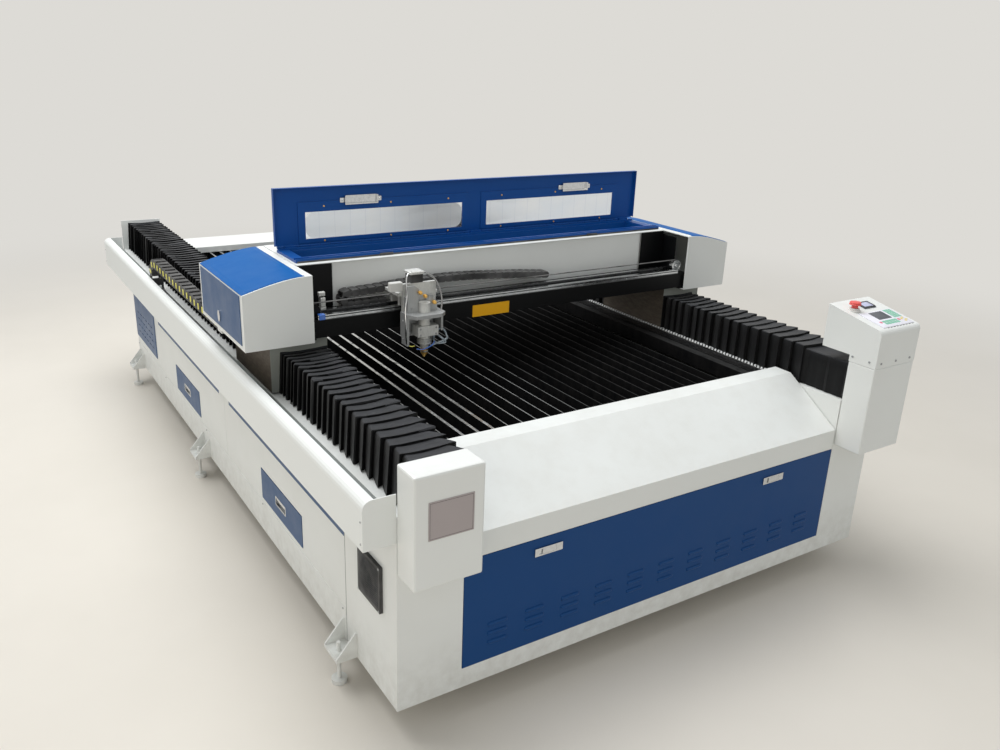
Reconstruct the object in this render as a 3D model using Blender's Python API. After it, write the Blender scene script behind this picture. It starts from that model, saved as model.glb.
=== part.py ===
"""Flat-bed fiber laser cutting machine: a long white cabinet bed with a travelling gantry.

Metres. X runs across the machine, Y from the front cabinet to the rear, Z up from the floor.
Shapes are written with Y counted from the front face of the cabinet; put() moves the whole
machine so that the middle of its length lies on the origin. Moving pieces have their origin
on their joint axis.
"""

import math

import bmesh
import bpy
from mathutils import Matrix, Vector

GAP = 0.0003  # between pieces that touch
SHEET = 0.003  # folded sheet metal

# bed
BODY_W = 1.91
HALF = BODY_W / 2
BODY_L = 3.21
GROUND = 0.10  # clearance under the bed
BASE_TOP = 0.62
BED_TOP = 0.70  # top of the side beams that carry the rails
BOX_W = 0.200  # width of the corner posts, which the bellows stand on
TABLE_HALF = HALF - BOX_W - 0.055  # half width of the opening for the slat table
CABINET_D = 0.262
OVER_L = 3.38  # side beams and troughs run past the base at the rear
WALL = 0.05
LEDGE = 0.012  # the slat table rests on this edge of the base

# levelling feet and slag drawers
FEET = (CABINET_D + 0.002, 1.810, BODY_L - 0.130)
FOOT_OUT = 0.066
FOOT_W = 0.096
DRAWERS = ((0.695, 1.100), (1.930, 2.335))
DRAWER_Z = (0.242, 0.360)
DRAWER_DEPTH = 0.420
DRAWER_PLAY = 0.002

# fan in the left face of the front cabinet
FAN_Y = 0.155
FAN_Z = 0.437
FAN_R = 0.056

# front and rear hoods
FASCIA_BOT = 0.520
FASCIA_TOP = 0.588
HOOD_SLOPE = 0.224
HOOD_TOP = 0.730
HOOD_SHEET = 0.004
HOOD_BACK = 0.295

# troughs outside the side beams
TROUGH_OUT = 0.092
TROUGH_BOT = 0.625
TROUGH_FLOOR = 0.646
RIM_TOP = 0.765
RIM_W = 0.032

# corner box at the left and control column at the right of the front
BOX_OUT = 0.095
BOX_BOT = 0.531
BOX_TOP = 0.849
COLUMN_W = 0.212
COLUMN_OUT = 0.105
COLUMN_SEAM = 0.845
COLUMN_BACK = 0.113  # how far the upper box reaches back over the bellows
NOTCH_Z = 0.868
PANEL_FRONT = 0.976
PANEL_BACK = 1.020
STOP_TRAVEL = 0.005

# front door
DOOR_W = BODY_W - 2 * BOX_W
DOOR_BOT = 0.163
DOOR_T = 0.018
LOUVRE_PITCH = 0.128

# slotted vent at the rear of the left side
VENT_L = 0.466
VENT_Z = (0.262, 0.500)

# rails, bellows
RAIL_W = 0.024
RAIL_H = 0.022
BELLOWS_TOP = 0.845
BELLOWS_W = BOX_W - 0.002
FOLD_DEPTH = 0.013
FOLD_PITCH = 0.070
SKIN = 0.003
PLATE_TOP = 0.857  # plates behind the rear bellows

# table
SLAT_PITCH = 0.054
SLAT_T = 0.003
SLAT_TOP = 0.698
BAR_T = 0.010  # the broad aluminium bars at the left of the table
BARS = (2, 5)  # which slats, counted from the left, are bars

# gantry
GANTRY_Y = 0.880
COVER_D = 0.490
COVER_W = 0.230
COVER_OUT = HALF + TROUGH_OUT + 0.001  # X of the outer side of the end covers
COVER_IN = COVER_OUT - COVER_W
COVER_BOT = 0.876
COVER_LOW = 1.060
COVER_HIGH = 1.102
BEAM_BOT = 0.886
BEAM_TOP = 0.945
BEAM_FRONT = 0.895
BEAM_BACK = 1.036
X_RAIL_Y = ((BEAM_FRONT + 0.005, BEAM_FRONT + 0.020), (BEAM_FRONT + 0.063, BEAM_FRONT + 0.078))
X_RAIL_TOP = BEAM_TOP + 0.016
TOP_FRONT = 1.030
TOP_Z = 1.100
LID_HINGE = (GANTRY_Y + 0.370, TOP_Z + 0.022)
LID_H = 0.203
LID_HALF = COVER_IN - 0.003
OPENING_Y = (TOP_FRONT + 0.052, LID_HINGE[0] - 0.020)  # the opening under the lid
LATCH_LOW = 0.134  # over the lid hinge
WINDOW = (0.055, LID_HALF - 0.117, 0.018, 0.114)  # x0, x1, and heights over the lid hinge

FOOT_Y = (GANTRY_Y + 0.050, GANTRY_Y + COVER_D - 0.050)  # blocks under the end covers
CHAIN_TOP = 0.862
CHAIN_W = 0.052
LINK_H = 0.042
CHAIN_BEND = 2.450
CHAIN_FIXED = 1.640
BELT_Y = (BEAM_FRONT + 0.030, BEAM_FRONT + 0.040)
PULLEY_R = 0.022
PULLEY_X = COVER_IN - 0.016
PULLEY_Z = BEAM_TOP + 0.006 + PULLEY_R

# carriage, as in the photograph left of the middle
CARRIAGE_X = -0.445
CARRIAGE_W = 0.150
PLATE_Y = (BEAM_FRONT - 0.037, BEAM_FRONT - 0.024)  # upright plate of the carriage
HEAD_Y = PLATE_Y[0] - 0.036
TIP_Z = 0.790
SHELF_Z = (0.940, 0.952)

MID_Y = (OVER_L - COLUMN_OUT) / 2

WHITE = ((0.80, 0.82, 0.80), 0.35, 0.0)
BLUE = ((0.020, 0.065, 0.230), 0.35, 0.0)
BRIGHT_BLUE = ((0.015, 0.125, 0.450), 0.35, 0.0)
BLACK = ((0.012, 0.013, 0.015), 0.55, 0.0)
STEEL = ((0.55, 0.56, 0.57), 0.30, 1.0)
DARK_STEEL = ((0.09, 0.09, 0.10), 0.45, 1.0)
ALUMINIUM = ((0.72, 0.73, 0.74), 0.35, 1.0)
CHROME = ((0.80, 0.80, 0.82), 0.10, 1.0)
BRASS = ((0.75, 0.50, 0.18), 0.30, 1.0)
RUBBER = ((0.015, 0.015, 0.016), 0.80, 0.0)
PLASTIC = ((0.020, 0.020, 0.022), 0.50, 0.0)
PALE = ((0.62, 0.72, 0.86), 0.15, 0.0)
GREEN = ((0.20, 0.45, 0.33), 0.45, 0.0)
SCREEN = ((0.030, 0.055, 0.090), 0.15, 0.0)
RED = ((0.60, 0.030, 0.015), 0.35, 0.0)
PALE_GREY = ((0.60, 0.60, 0.58), 0.45, 0.0)
PRIMER = ((0.115, 0.100, 0.085), 0.65, 0.0)
GREY = ((0.42, 0.40, 0.40), 0.50, 0.0)


def clear_scene():
    for obj in list(bpy.data.objects):
        bpy.data.objects.remove(obj, do_unlink=True)


def paint(obj, look):
    colour, roughness, metallic = look
    material = bpy.data.materials.new(obj.name)
    material.use_nodes = True
    shader = material.node_tree.nodes["Principled BSDF"]
    shader.inputs["Base Color"].default_value = (*colour, 1.0)
    shader.inputs["Roughness"].default_value = roughness
    shader.inputs["Metallic"].default_value = metallic
    obj.data.materials.append(material)


def put(name, bm, look, pivot=(0.0, MID_Y, 0.0)):
    """A finished mesh becomes an object whose origin is the pivot, moved to the machine's middle."""
    bmesh.ops.recalc_face_normals(bm, faces=bm.faces)
    bmesh.ops.translate(bm, verts=bm.verts, vec=-Vector(pivot))
    mesh = bpy.data.meshes.new(name)
    bm.to_mesh(mesh)
    bm.free()
    obj = bpy.data.objects.new(name, mesh)
    obj.location = Vector(pivot) - Vector((0.0, MID_Y, 0.0))
    bpy.context.scene.collection.objects.link(obj)
    paint(obj, look)
    return obj


def add_box(bm, x, y, z):
    size = (x[1] - x[0], y[1] - y[0], z[1] - z[0])
    middle = ((x[0] + x[1]) / 2, (y[0] + y[1]) / 2, (z[0] + z[1]) / 2)
    matrix = Matrix.Translation(middle) @ Matrix.Diagonal((*size, 1.0))
    bmesh.ops.create_cube(bm, size=1.0, matrix=matrix)


def add_prism(bm, outline, along, ends):
    """A closed outline pushed along an axis. The outline holds the other two axes in order."""
    rings = []
    for value in ends:
        ring = []
        for a, b in outline:
            point = [a, b]
            point.insert("xyz".index(along), value)
            ring.append(bm.verts.new(point))
        rings.append(ring)
    count = len(outline)
    bm.faces.new(rings[0])
    bm.faces.new(rings[1][::-1])
    for i in range(count):
        j = (i + 1) % count
        bm.faces.new((rings[0][i], rings[0][j], rings[1][j], rings[1][i]))


def add_round(bm, centre, radius, along, ends, sides=24, tip=None):
    """A round bar or, with a tip radius, a cone, along an axis."""
    length = ends[1] - ends[0]
    middle = list(centre)
    middle.insert("xyz".index(along), (ends[0] + ends[1]) / 2)
    turn = {
        "x": Matrix.Rotation(math.pi / 2, 4, "Y"),
        "y": Matrix.Rotation(-math.pi / 2, 4, "X"),
        "z": Matrix.Identity(4),
    }[along]
    bmesh.ops.create_cone(
        bm,
        cap_ends=True,
        segments=sides,
        radius1=radius,
        radius2=radius if tip is None else tip,
        depth=length,
        matrix=Matrix.Translation(middle) @ turn,
    )


def mesh_of(*adders):
    bm = bmesh.new()
    for adder, *values in adders:
        adder(bm, *values)
    return bm


def box(name, x, y, z, look, round_by=0.0, **extra):
    obj = put(name, mesh_of((add_box, x, y, z)), look, **extra)
    if round_by:
        soften(obj, round_by)
    return obj


def prism(name, outline, along, ends, look, **extra):
    return put(name, mesh_of((add_prism, outline, along, ends)), look, **extra)


def soften(obj, width, segments=2):
    bevel = obj.modifiers.new("Bevel", "BEVEL")
    bevel.width = width
    bevel.segments = segments
    bevel.limit_method = "ANGLE"
    bevel.angle_limit = math.radians(40)
    bevel.harden_normals = False


def combine(obj, other, operation):
    """Boolean with a hidden helper: the helper is kept out of the render."""
    modifier = obj.modifiers.new(operation.title(), "BOOLEAN")
    modifier.operation = operation
    modifier.solver = "EXACT"
    modifier.use_self = True
    modifier.object = other
    other.hide_render = True
    other.display_type = "WIRE"


def helper(name, *adders):
    return put(name, mesh_of(*adders), GREY)


def cut(obj, *adders):
    combine(obj, helper(obj.name + "_cutter", *adders), "DIFFERENCE")


def join(obj, *adders):
    combine(obj, helper(obj.name + "_joined", *adders), "UNION")


def both(span, side):
    """A span of X written for the right side, turned to the side wanted."""
    return span if side > 0 else (-span[1], -span[0])


# bed


def bed_frame():
    """Base under the table: open slag chamber, drawer openings at the left, six feet."""
    bed = box(
        "bed_frame",
        (-HALF, HALF),
        (CABINET_D + GAP, BODY_L),
        (GROUND, BASE_TOP),
        WHITE,
    )
    hollows = [
        (
            add_box,
            (-TABLE_HALF + LEDGE, TABLE_HALF - LEDGE),
            (CABINET_D + WALL, BODY_L - WALL),
            (GROUND + WALL, BASE_TOP + WALL),
        )
    ]
    for start, end in DRAWERS:
        hollows.append(
            (
                add_box,
                (-HALF - WALL, -TABLE_HALF + WALL),
                (start - DRAWER_PLAY, end + DRAWER_PLAY),
                (DRAWER_Z[0] - GAP, DRAWER_Z[1] + DRAWER_PLAY),
            )
        )
    cut(bed, *hollows)
    feet = []
    for side in (-1, 1):
        for start in FEET:
            feet += foot(side, start)
    join(bed, *feet)


def foot(side, start):
    """A welded bracket low on the side: plate, two gussets, and a levelling screw on its pad."""
    outer = HALF + FOOT_OUT
    rear = start + FOOT_W
    low, high = GROUND + 0.002, GROUND + 0.010
    wedge = [
        (side * (HALF - 0.010), low),
        (side * (outer - 0.001), low),
        (side * (outer - 0.001), high + 0.004),
        (side * (HALF + 0.006), high + 0.075),
        (side * (HALF - 0.010), high + 0.075),
    ]
    screw = (side * (HALF + 0.6 * FOOT_OUT), (start + rear) / 2)
    return [
        (add_box, both((HALF - 0.010, outer), side), (start, rear), (low, high)),
        (add_prism, wedge, "y", (start, start + 0.006)),
        (add_prism, wedge, "y", (rear - 0.006, rear)),
        (add_round, screw, 0.0065, "z", (0.008, high + 0.030), 16),
        (add_round, screw, 0.012, "z", (low - 0.010, low + 0.002), 6),
        (add_round, screw, 0.024, "z", (0.0, 0.014), 24),
    ]


def drawers():
    """Slag drawers that pull out to the left, each a tray behind a blue front with a cup pull."""
    for number, (start, end) in enumerate(DRAWERS):
        x = (-HALF - 0.0015, -HALF + DRAWER_DEPTH)
        middle = (-HALF, (start + end) / 2, sum(DRAWER_Z) / 2)
        tray = box(
            f"drawer_{number + 1}", x, (start, end), DRAWER_Z, BLUE, pivot=middle
        )
        cut(
            tray,
            (
                add_box,
                (x[0] + 0.016, x[1] - 0.004),
                (start + 0.006, end - 0.006),
                (DRAWER_Z[0] + 0.004, DRAWER_Z[1] + 0.05),
            ),
            (
                add_box,
                (x[0] - 0.02, x[0] + 0.011),
                (middle[1] - 0.048, middle[1] + 0.048),
                (middle[2] - 0.014, middle[2] + 0.014),
            ),
        )


def top_frame():
    """Side beams that carry the rails, joined at the rear, with the plates behind the bellows."""
    left = (-HALF, -TABLE_HALF)
    frame = box(
        "top_frame",
        left,
        (CABINET_D + GAP, OVER_L),
        (BASE_TOP + GAP, BED_TOP),
        WHITE,
    )
    rear = OVER_L - 0.024
    pieces = [
        (
            add_box,
            (TABLE_HALF, HALF),
            (CABINET_D + GAP, OVER_L),
            (BASE_TOP + GAP, BED_TOP),
        ),
        (
            add_box,
            (-TABLE_HALF - 0.010, TABLE_HALF + 0.010),
            (BODY_L - WALL, OVER_L),
            (BASE_TOP + GAP, BED_TOP),
        ),
    ]
    for side in (-1, 1):
        span = both((HALF - BOX_W, HALF), side)
        pieces.append((add_box, span, (rear, rear + 0.006), (BED_TOP - 0.010, PLATE_TOP)))
    join(frame, *pieces)


def troughs():
    """Open channels along both sides: rounded outer rim, closed front and rear ends."""
    out = HALF + TROUGH_OUT
    radius = RIM_W * 0.8
    corner = []
    for step in range(6):
        a = math.radians(18 * step)
        corner.append(
            (out - radius + radius * math.cos(a), RIM_TOP - radius + radius * math.sin(a))
        )
    section = [(HALF + GAP, TROUGH_BOT), (out, TROUGH_BOT), *corner, (HALF + GAP, RIM_TOP)]
    for name, side in (("left", -1), ("right", 1)):
        outline = [(side * x, z) for x, z in section]
        trough = prism(f"trough_{name}", outline, "y", (0.0, OVER_L), WHITE)
        cut(
            trough,
            (
                add_box,
                both((HALF - 0.02, out - RIM_W), side),
                (SHEET, OVER_L - SHEET),
                (TROUGH_FLOOR, RIM_TOP + 0.05),
            ),
        )


def vent_plate():
    """Slotted plate at the rear of the left side."""
    face = -HALF - GAP
    vent = box(
        "vent_plate",
        (face - 0.003, face),
        (BODY_L - 0.004 - VENT_L, BODY_L - 0.004),
        VENT_Z,
        BLUE,
    )
    slots = []
    for row in range(4):
        for column in range(6):
            y = BODY_L + 0.046 - VENT_L + 0.062 * column
            z = VENT_Z[0] + 0.038 + 0.036 * row
            slots.append(
                (add_box, (face - 0.02, face + 0.02), (y, y + 0.034), (z, z + 0.006))
            )
    cut(vent, *slots)


def front_cabinet():
    """Cabinet across the front with two posts that carry the ends of the bellows."""
    post = HALF - BOX_W
    outline = [
        (-HALF, GROUND),
        (HALF, GROUND),
        (HALF, BED_TOP),
        (post, BED_TOP),
        (post, FASCIA_BOT - GAP),
        (-post, FASCIA_BOT - GAP),
        (-post, BED_TOP),
        (-HALF, BED_TOP),
    ]
    cabinet = prism("front_cabinet", outline, "y", (0.0, CABINET_D), WHITE)
    cut(
        cabinet,
        (
            add_box,
            (-DOOR_W / 2, DOOR_W / 2),
            (-0.05, CABINET_D - 0.02),
            (DOOR_BOT, FASCIA_BOT - 0.006),
        ),
    )
    opening = helper(
        "fan_opening",
        (add_round, (FAN_Y, FAN_Z), FAN_R + 0.002, "x", (-HALF - 0.02, -post), 32),
        (
            add_box,
            (-HALF + 0.06, -post + 0.05),
            (FAN_Y - FAN_R, FAN_Y + FAN_R),
            (FAN_Z - FAN_R, FAN_Z + FAN_R),
        ),
    )
    combine(cabinet, opening, "DIFFERENCE")
    strut = (-HALF + 0.030 + GAP, -HALF + 0.036)
    reach = FAN_R + 0.010
    join(
        cabinet,
        (add_box, strut, (FAN_Y - 0.010, FAN_Y + 0.010), (FAN_Z - reach, FAN_Z + reach)),
    )


def fan():
    """Square guard proud of the cabinet's left face, with the rotor behind it."""
    face = -HALF - GAP
    guard = box(
        "fan_guard",
        (face - 0.010, face),
        (FAN_Y - 0.071, FAN_Y + 0.071),
        (FAN_Z - 0.071, FAN_Z + 0.071),
        PLASTIC,
    )
    ring = []
    for inner, outer in ((0.016, 0.034), (0.038, 0.0555)):
        for quarter in range(4):
            start = math.radians(90 * quarter + 5)
            angles = [start + math.radians(80) * i / 8 for i in range(9)]
            outline = [
                (FAN_Y + outer * math.cos(a), FAN_Z + outer * math.sin(a))
                for a in angles
            ]
            outline += [
                (FAN_Y + inner * math.cos(a), FAN_Z + inner * math.sin(a))
                for a in reversed(angles)
            ]
            ring.append((add_prism, outline, "x", (face - 0.03, face + 0.02)))
    cut(guard, *ring)
    centre = (FAN_Y, FAN_Z)
    pivot = (-HALF + 0.020, *centre)
    hub = bmesh.new()
    add_round(hub, centre, 0.020, "x", (-HALF + 0.006, -HALF + 0.030), 24)
    rotor = put("fan_rotor", hub, PLASTIC, pivot=pivot)
    blades = []
    for number in range(5):
        turn = math.radians(72 * number)
        across = (-math.sin(turn), math.cos(turn))
        outline = []
        for radius, side in ((0.016, -0.003), (0.053, -0.018), (0.053, 0.012), (0.016, 0.003)):
            outline.append(
                (
                    FAN_Y + radius * math.cos(turn) + side * across[0],
                    FAN_Z + radius * math.sin(turn) + side * across[1],
                )
            )
        blades.append((add_prism, outline, "x", (-HALF + 0.014, -HALF + 0.018)))
    join(rotor, *blades)


def front_door():
    """Door that drops forward on its lower edge: a sheet with turned edges and louvre slots."""
    width = DOOR_W / 2 - 0.002
    z = (DOOR_BOT + GAP, FASCIA_BOT - 0.008)
    hinge = (0.0, 0.0, z[0])
    door = box("front_door", (-width, width), (0.0, DOOR_T), z, BLUE, pivot=hinge)
    fold = 0.003
    inside = (-width + fold, width - fold)
    room = (add_box, inside, (0.002, DOOR_T + 0.02), (z[0] + fold, z[1] - fold))
    slots = []
    count = int((DOOR_W - 0.100) / LOUVRE_PITCH)
    for column in range(count):
        for row in range(3):
            x = LOUVRE_PITCH * (column - (count - 1) / 2) - 0.032
            height = 0.215 + 0.030 * row
            slots.append(
                (add_box, (x, x + 0.064), (-0.02, DOOR_T + 0.02), (height, height + 0.004))
            )
    cut(door, room, *slots)
    for name, middle in (("left", 0.278 - DOOR_W / 2), ("right", DOOR_W / 2 - 0.301)):
        door_latch(name, middle, hinge)


def door_latch(name, middle, hinge):
    """Flush latch: a dished plate on the door with a paddle that lifts on its upper edge."""
    front, z = -0.0055, (0.458, 0.483)
    plate = box(
        f"door_latch_{name}",
        (middle - 0.048, middle + 0.048),
        (front, -GAP),
        z,
        CHROME,
        pivot=hinge,
    )
    dish = ((middle - 0.034, middle + 0.026), (z[0] + 0.004, z[1] - 0.004))
    cut(plate, (add_box, dish[0], (-0.02, front + 0.0038), dish[1]))
    paddle_z = (dish[1][0] + GAP, dish[1][1] - GAP)
    box(
        f"door_paddle_{name}",
        (dish[0][0] + 0.012, dish[0][1] - GAP),
        (front + 0.0002, front + 0.0022),
        paddle_z,
        CHROME,
        pivot=(middle, front + 0.0002, paddle_z[1]),
    )


def front_hood():
    """Slanted sheet over the front cabinet, between the corner box and the column."""
    half = HALF - BOX_W - 0.003
    front = -0.001
    t = HOOD_SHEET
    flange = BED_TOP + 0.004
    outline = [
        (front, FASCIA_BOT),
        (front, FASCIA_TOP),
        (HOOD_SLOPE, HOOD_TOP),
        (HOOD_BACK, HOOD_TOP),
        (HOOD_BACK, flange),
        (HOOD_BACK - t, flange),
        (HOOD_BACK - t, HOOD_TOP - t),
        (HOOD_SLOPE + 0.3 * t, HOOD_TOP - t),
        (front + t, FASCIA_TOP - 0.3 * t),
        (front + t, FASCIA_BOT),
    ]
    hood = prism("front_hood", outline, "x", (-half, half), WHITE)
    profile = [
        (front + 0.001, FASCIA_BOT + 0.0005),
        (front + 0.001, FASCIA_TOP - 0.001),
        (HOOD_SLOPE, HOOD_TOP - 0.001),
        (HOOD_BACK - 0.001, HOOD_TOP - 0.001),
        (HOOD_BACK - 0.001, flange + 0.0005),
        (CABINET_D - 0.002, flange + 0.0005),
        (CABINET_D - 0.002, FASCIA_BOT + 0.0005),
    ]
    ends = []
    for side in (-1, 1):
        ends.append((add_prism, profile, "x", both((half - 0.004, half - 0.001), side)))
    join(hood, *ends)


def rear_hood():
    """Flat cover behind the table, folded down over the rear beam."""
    half = HALF - BOX_W - 0.003
    back = OVER_L
    t = HOOD_SHEET
    outline = [
        (BODY_L - WALL - 0.040, HOOD_TOP),
        (back, HOOD_TOP),
        (back, BED_TOP + GAP),
        (back - t, BED_TOP + GAP),
        (back - t, HOOD_TOP - t),
        (BODY_L - WALL - 0.036, HOOD_TOP - t),
        (BODY_L - WALL - 0.036, BED_TOP + GAP),
        (BODY_L - WALL - 0.040, BED_TOP + GAP),
    ]
    prism("rear_hood", outline, "x", (-half, half), WHITE)


def corner_box():
    """Tall box in front of the left post, with a blank plate on its front."""
    x = (-HALF, -HALF + BOX_W)
    box("corner_box", x, (-BOX_OUT, -GAP), (BOX_BOT, BOX_TOP), WHITE, 0.006)
    box(
        "blank_plate",
        (-HALF + 0.039, -HALF + 0.168),
        (-BOX_OUT - 0.0015, -BOX_OUT - GAP),
        (0.669, 0.775),
        GREY,
    )


def column():
    """Control column at the right: a lower box, and an upper box that reaches back."""
    x = (HALF - BOX_W + 0.002, HALF - BOX_W + 0.002 + COLUMN_W)
    front = -COLUMN_OUT
    box("column_lower", x, (front, -GAP), (BOX_BOT, COLUMN_SEAM - GAP), WHITE, 0.004)
    slope = (PANEL_BACK - PANEL_FRONT) / (COLUMN_BACK + COLUMN_OUT)
    radius = 0.020
    nose = []
    tilt = math.atan(slope)
    for step in range(6):
        a = math.pi - (math.pi / 2 - tilt) * step / 5
        nose.append(
            (
                front + radius + radius * math.cos(a),
                PANEL_FRONT + slope * radius - radius / math.cos(tilt) + radius * math.sin(a),
            )
        )
    outline = [
        (front, COLUMN_SEAM),
        *nose,
        (COLUMN_BACK, PANEL_BACK),
        (COLUMN_BACK, NOTCH_Z),
        (-GAP, NOTCH_Z),
        (-GAP, COLUMN_SEAM),
    ]
    prism("column_upper", outline, "x", x, WHITE)

    def on_panel(name, u, y, rise, look):
        """A flat plate lying on the sloping panel; u runs across from the left edge."""
        points = []
        for value, lift in ((y[0], GAP), (y[1], GAP), (y[1], rise), (y[0], rise)):
            height = PANEL_FRONT + slope * (value + COLUMN_OUT) + lift
            points.append((value, height))
        return prism(name, points, "x", (x[0] + u[0], x[0] + u[1]), look)

    on_panel("keypad", (0.034, 0.200), (-0.086, 0.016), 0.0020, GREEN)
    on_panel("meter", (0.100, 0.160), (0.040, 0.082), 0.0040, SCREEN)
    centre = (x[0] + 0.045, 0.044)
    base = PANEL_FRONT + slope * (centre[1] + COLUMN_OUT)
    ring = bmesh.new()
    add_round(ring, centre, 0.0165, "z", (base + 0.0038, base + 0.010), 28)
    collar = put("stop_collar", ring, PALE_GREY)
    cut(collar, (add_round, centre, 0.011 + GAP, "z", (base - 0.02, base + 0.03), 24))
    button = bmesh.new()
    pivot = (*centre, base + 0.010)
    add_round(button, centre, 0.011, "z", (base + 0.0038 + STOP_TRAVEL, base + 0.026), 24)
    stop = put("stop_button", button, RED, pivot=pivot)
    join(
        stop,
        (add_round, centre, 0.0205, "z", (base + 0.018, base + 0.026), 28),
        (add_round, centre, 0.0205, "z", (base + 0.0259, base + 0.033), 28, 0.015),
    )


def rails():
    """Linear rails on the side beams and the posts."""
    for name, side in (("left", -1), ("right", 1)):
        middle = HALF - BOX_W / 2
        span = both((middle - RAIL_W / 2, middle + RAIL_W / 2), side)
        z = BED_TOP + GAP
        box(f"y_rail_{name}", span, (0.030, OVER_L - 0.040), (z, z + RAIL_H), STEEL)


def bellows(name, side, start, end):
    """Pleated hood over a rail: an upside-down U that zigzags along Y."""
    middle = side * (HALF - BOX_W / 2)
    half = BELLOWS_W / 2
    foot = BED_TOP + GAP + 0.002
    folds = max(2, round((end - start) / FOLD_PITCH))
    bm = bmesh.new()
    rings = []
    for step in range(2 * folds + 1):
        y = start + (end - start) * step / (2 * folds)
        dip = FOLD_DEPTH if step % 2 == 0 else 0.0
        w, top = half - dip, BELLOWS_TOP - dip
        section = [
            (-w, foot),
            (-w, top),
            (w, top),
            (w, foot),
            (w - SKIN, foot),
            (w - SKIN, top - SKIN),
            (-w + SKIN, top - SKIN),
            (-w + SKIN, foot),
        ]
        rings.append([bm.verts.new((middle + a, y, b)) for a, b in section])
    for first, second in zip(rings, rings[1:]):
        for i in range(8):
            j = (i + 1) % 8
            bm.faces.new((first[i], first[j], second[j], second[i]))
    for ring in (rings[0], rings[-1]):
        for corners in ((0, 1, 6, 7), (1, 2, 5, 6), (2, 3, 4, 5)):
            bm.faces.new([ring[i] for i in corners])
    put(name, bm, BLACK)


def all_bellows():
    """Front and rear bellows each side of the gantry feet."""
    for name, side in (("left", -1), ("right", 1)):
        bellows(f"bellows_{name}_front", side, GAP, FOOT_Y[0] - GAP)
        bellows(f"bellows_{name}_rear", side, FOOT_Y[1] + GAP, OVER_L - 0.024 - GAP)


def table():
    """Blade slats on edge along Y, tied by bearers; a few at the left are broad aluminium bars."""
    y = (CABINET_D + WALL + 0.004, BODY_L - WALL - 0.004)
    count = int((2 * TABLE_HALF - 0.110) / SLAT_PITCH)
    first = -TABLE_HALF + 0.037
    bearer_z = (BASE_TOP + GAP, BASE_TOP + 0.030)
    z = (bearer_z[1] - 0.010, SLAT_TOP)
    width = TABLE_HALF - GAP
    pieces = []
    for i in range(5):
        row = y[0] + 0.060 + (y[1] - y[0] - 0.132) * i / 4
        pieces.append((add_box, (-width, width), (row, row + 0.012), bearer_z))
    for i in range(count):
        x = first + SLAT_PITCH * i
        half = (BAR_T if BARS[0] <= i < BARS[1] else SLAT_T) / 2
        pieces.append((add_box, (x - half, x + half), y, z))
    pieces.append((add_box, (width - 0.046, width - 0.004), y, (bearer_z[1] - 0.004, SLAT_TOP)))
    slats = put("slat_table", mesh_of(pieces[0]), DARK_STEEL)
    join(slats, *pieces[1:])


# gantry


def arch(x):
    """Height of the end cover's curved top at a distance from the middle of the machine."""
    share = (COVER_OUT - x) / COVER_W
    return COVER_LOW + (COVER_HIGH - COVER_LOW) * math.sin(share * math.pi / 2)


def end_covers():
    """Box covers over the gantry ends: curved top rising inward, open towards the beam."""
    outer = COVER_OUT
    t = SHEET
    y = (GANTRY_Y, GANTRY_Y + COVER_D)
    steps = 10
    rise = [outer - (outer - COVER_IN) * i / steps for i in range(steps + 1)]
    shell = [(COVER_IN, COVER_BOT), (outer, COVER_BOT)]
    shell += [(x, arch(x)) for x in rise]
    room = [(COVER_IN - 0.02, COVER_BOT + t), (outer - t, COVER_BOT + t)]
    room += [(min(x, outer - t), arch(x) - t) for x in rise[:-1]]
    room += [(COVER_IN - 0.02, COVER_HIGH - t)]
    door_y = (y[0] + 0.026, y[1] - 0.020)
    door_z = (COVER_BOT + 0.016, COVER_LOW - 0.006)
    for name, side in (("left", -1), ("right", 1)):
        cover = prism(
            f"end_cover_{name}", [(side * x, z) for x, z in shell], "y", y, WHITE
        )
        cut(
            cover,
            (add_prism, [(side * x, z) for x, z in room], "y", (y[0] + t, y[1] - t)),
        )
        sheet = [(side * x, arch(x) - 0.001) for x in rise[1:-1]]
        sheet += [(side * x, arch(x) + 0.0015) for x in reversed(rise[1:-1])]
        join(cover, (add_prism, sheet, "y", (y[0] + 0.014, y[1] - 0.014)))
        if side < 0:
            arm = (-HALF - 0.004 - CHAIN_W, -HALF - 0.004)
            arm_y = (FOOT_Y[1] - 0.040, FOOT_Y[1] + 0.010)
            join(cover, (add_box, arm, arm_y, (CHAIN_TOP - LINK_H, COVER_BOT + 0.002)))
            hatch = [(a + 0.010, b - 0.010) for a, b in (door_y, door_z)]
            cut(cover, (add_box, (-outer - 0.02, -outer + t + 0.01), *hatch))
    face = -outer - GAP
    hinge = (face - 0.001, door_y[1], (door_z[0] + door_z[1]) / 2)
    box("cover_door", (face - 0.002, face), door_y, door_z, BLUE, pivot=hinge)
    lock = bmesh.new()
    centre = (door_y[0] + 0.234, door_z[0] + 0.038)
    add_round(lock, centre, 0.012, "x", (face - 0.006, face - 0.002 - GAP), 20)
    away = Matrix.Translation((0.0, -centre[0], -centre[1]))
    bmesh.ops.scale(lock, verts=lock.verts, vec=(1, 1, 1.7), space=away)
    put("cover_lock", lock, CHROME, pivot=(face - 0.004, *centre))


def gantry_feet():
    """Blocks between front and rear bellows that carry the beam, running over the rails."""
    for name, side in (("left", -1), ("right", 1)):
        middle = HALF - BOX_W / 2
        span = both((middle - BELLOWS_W / 2, middle + BELLOWS_W / 2), side)
        foot = box(
            f"gantry_foot_{name}",
            span,
            FOOT_Y,
            (BED_TOP + 0.006, COVER_BOT - GAP),
            PRIMER,
        )
        cut(
            foot,
            (
                add_box,
                both((middle - 0.066, middle + 0.018), side),
                (FOOT_Y[0] - 0.02, FOOT_Y[1] + 0.02),
                (BED_TOP - 0.01, BED_TOP + RAIL_H + 0.004),
            ),
        )


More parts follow.
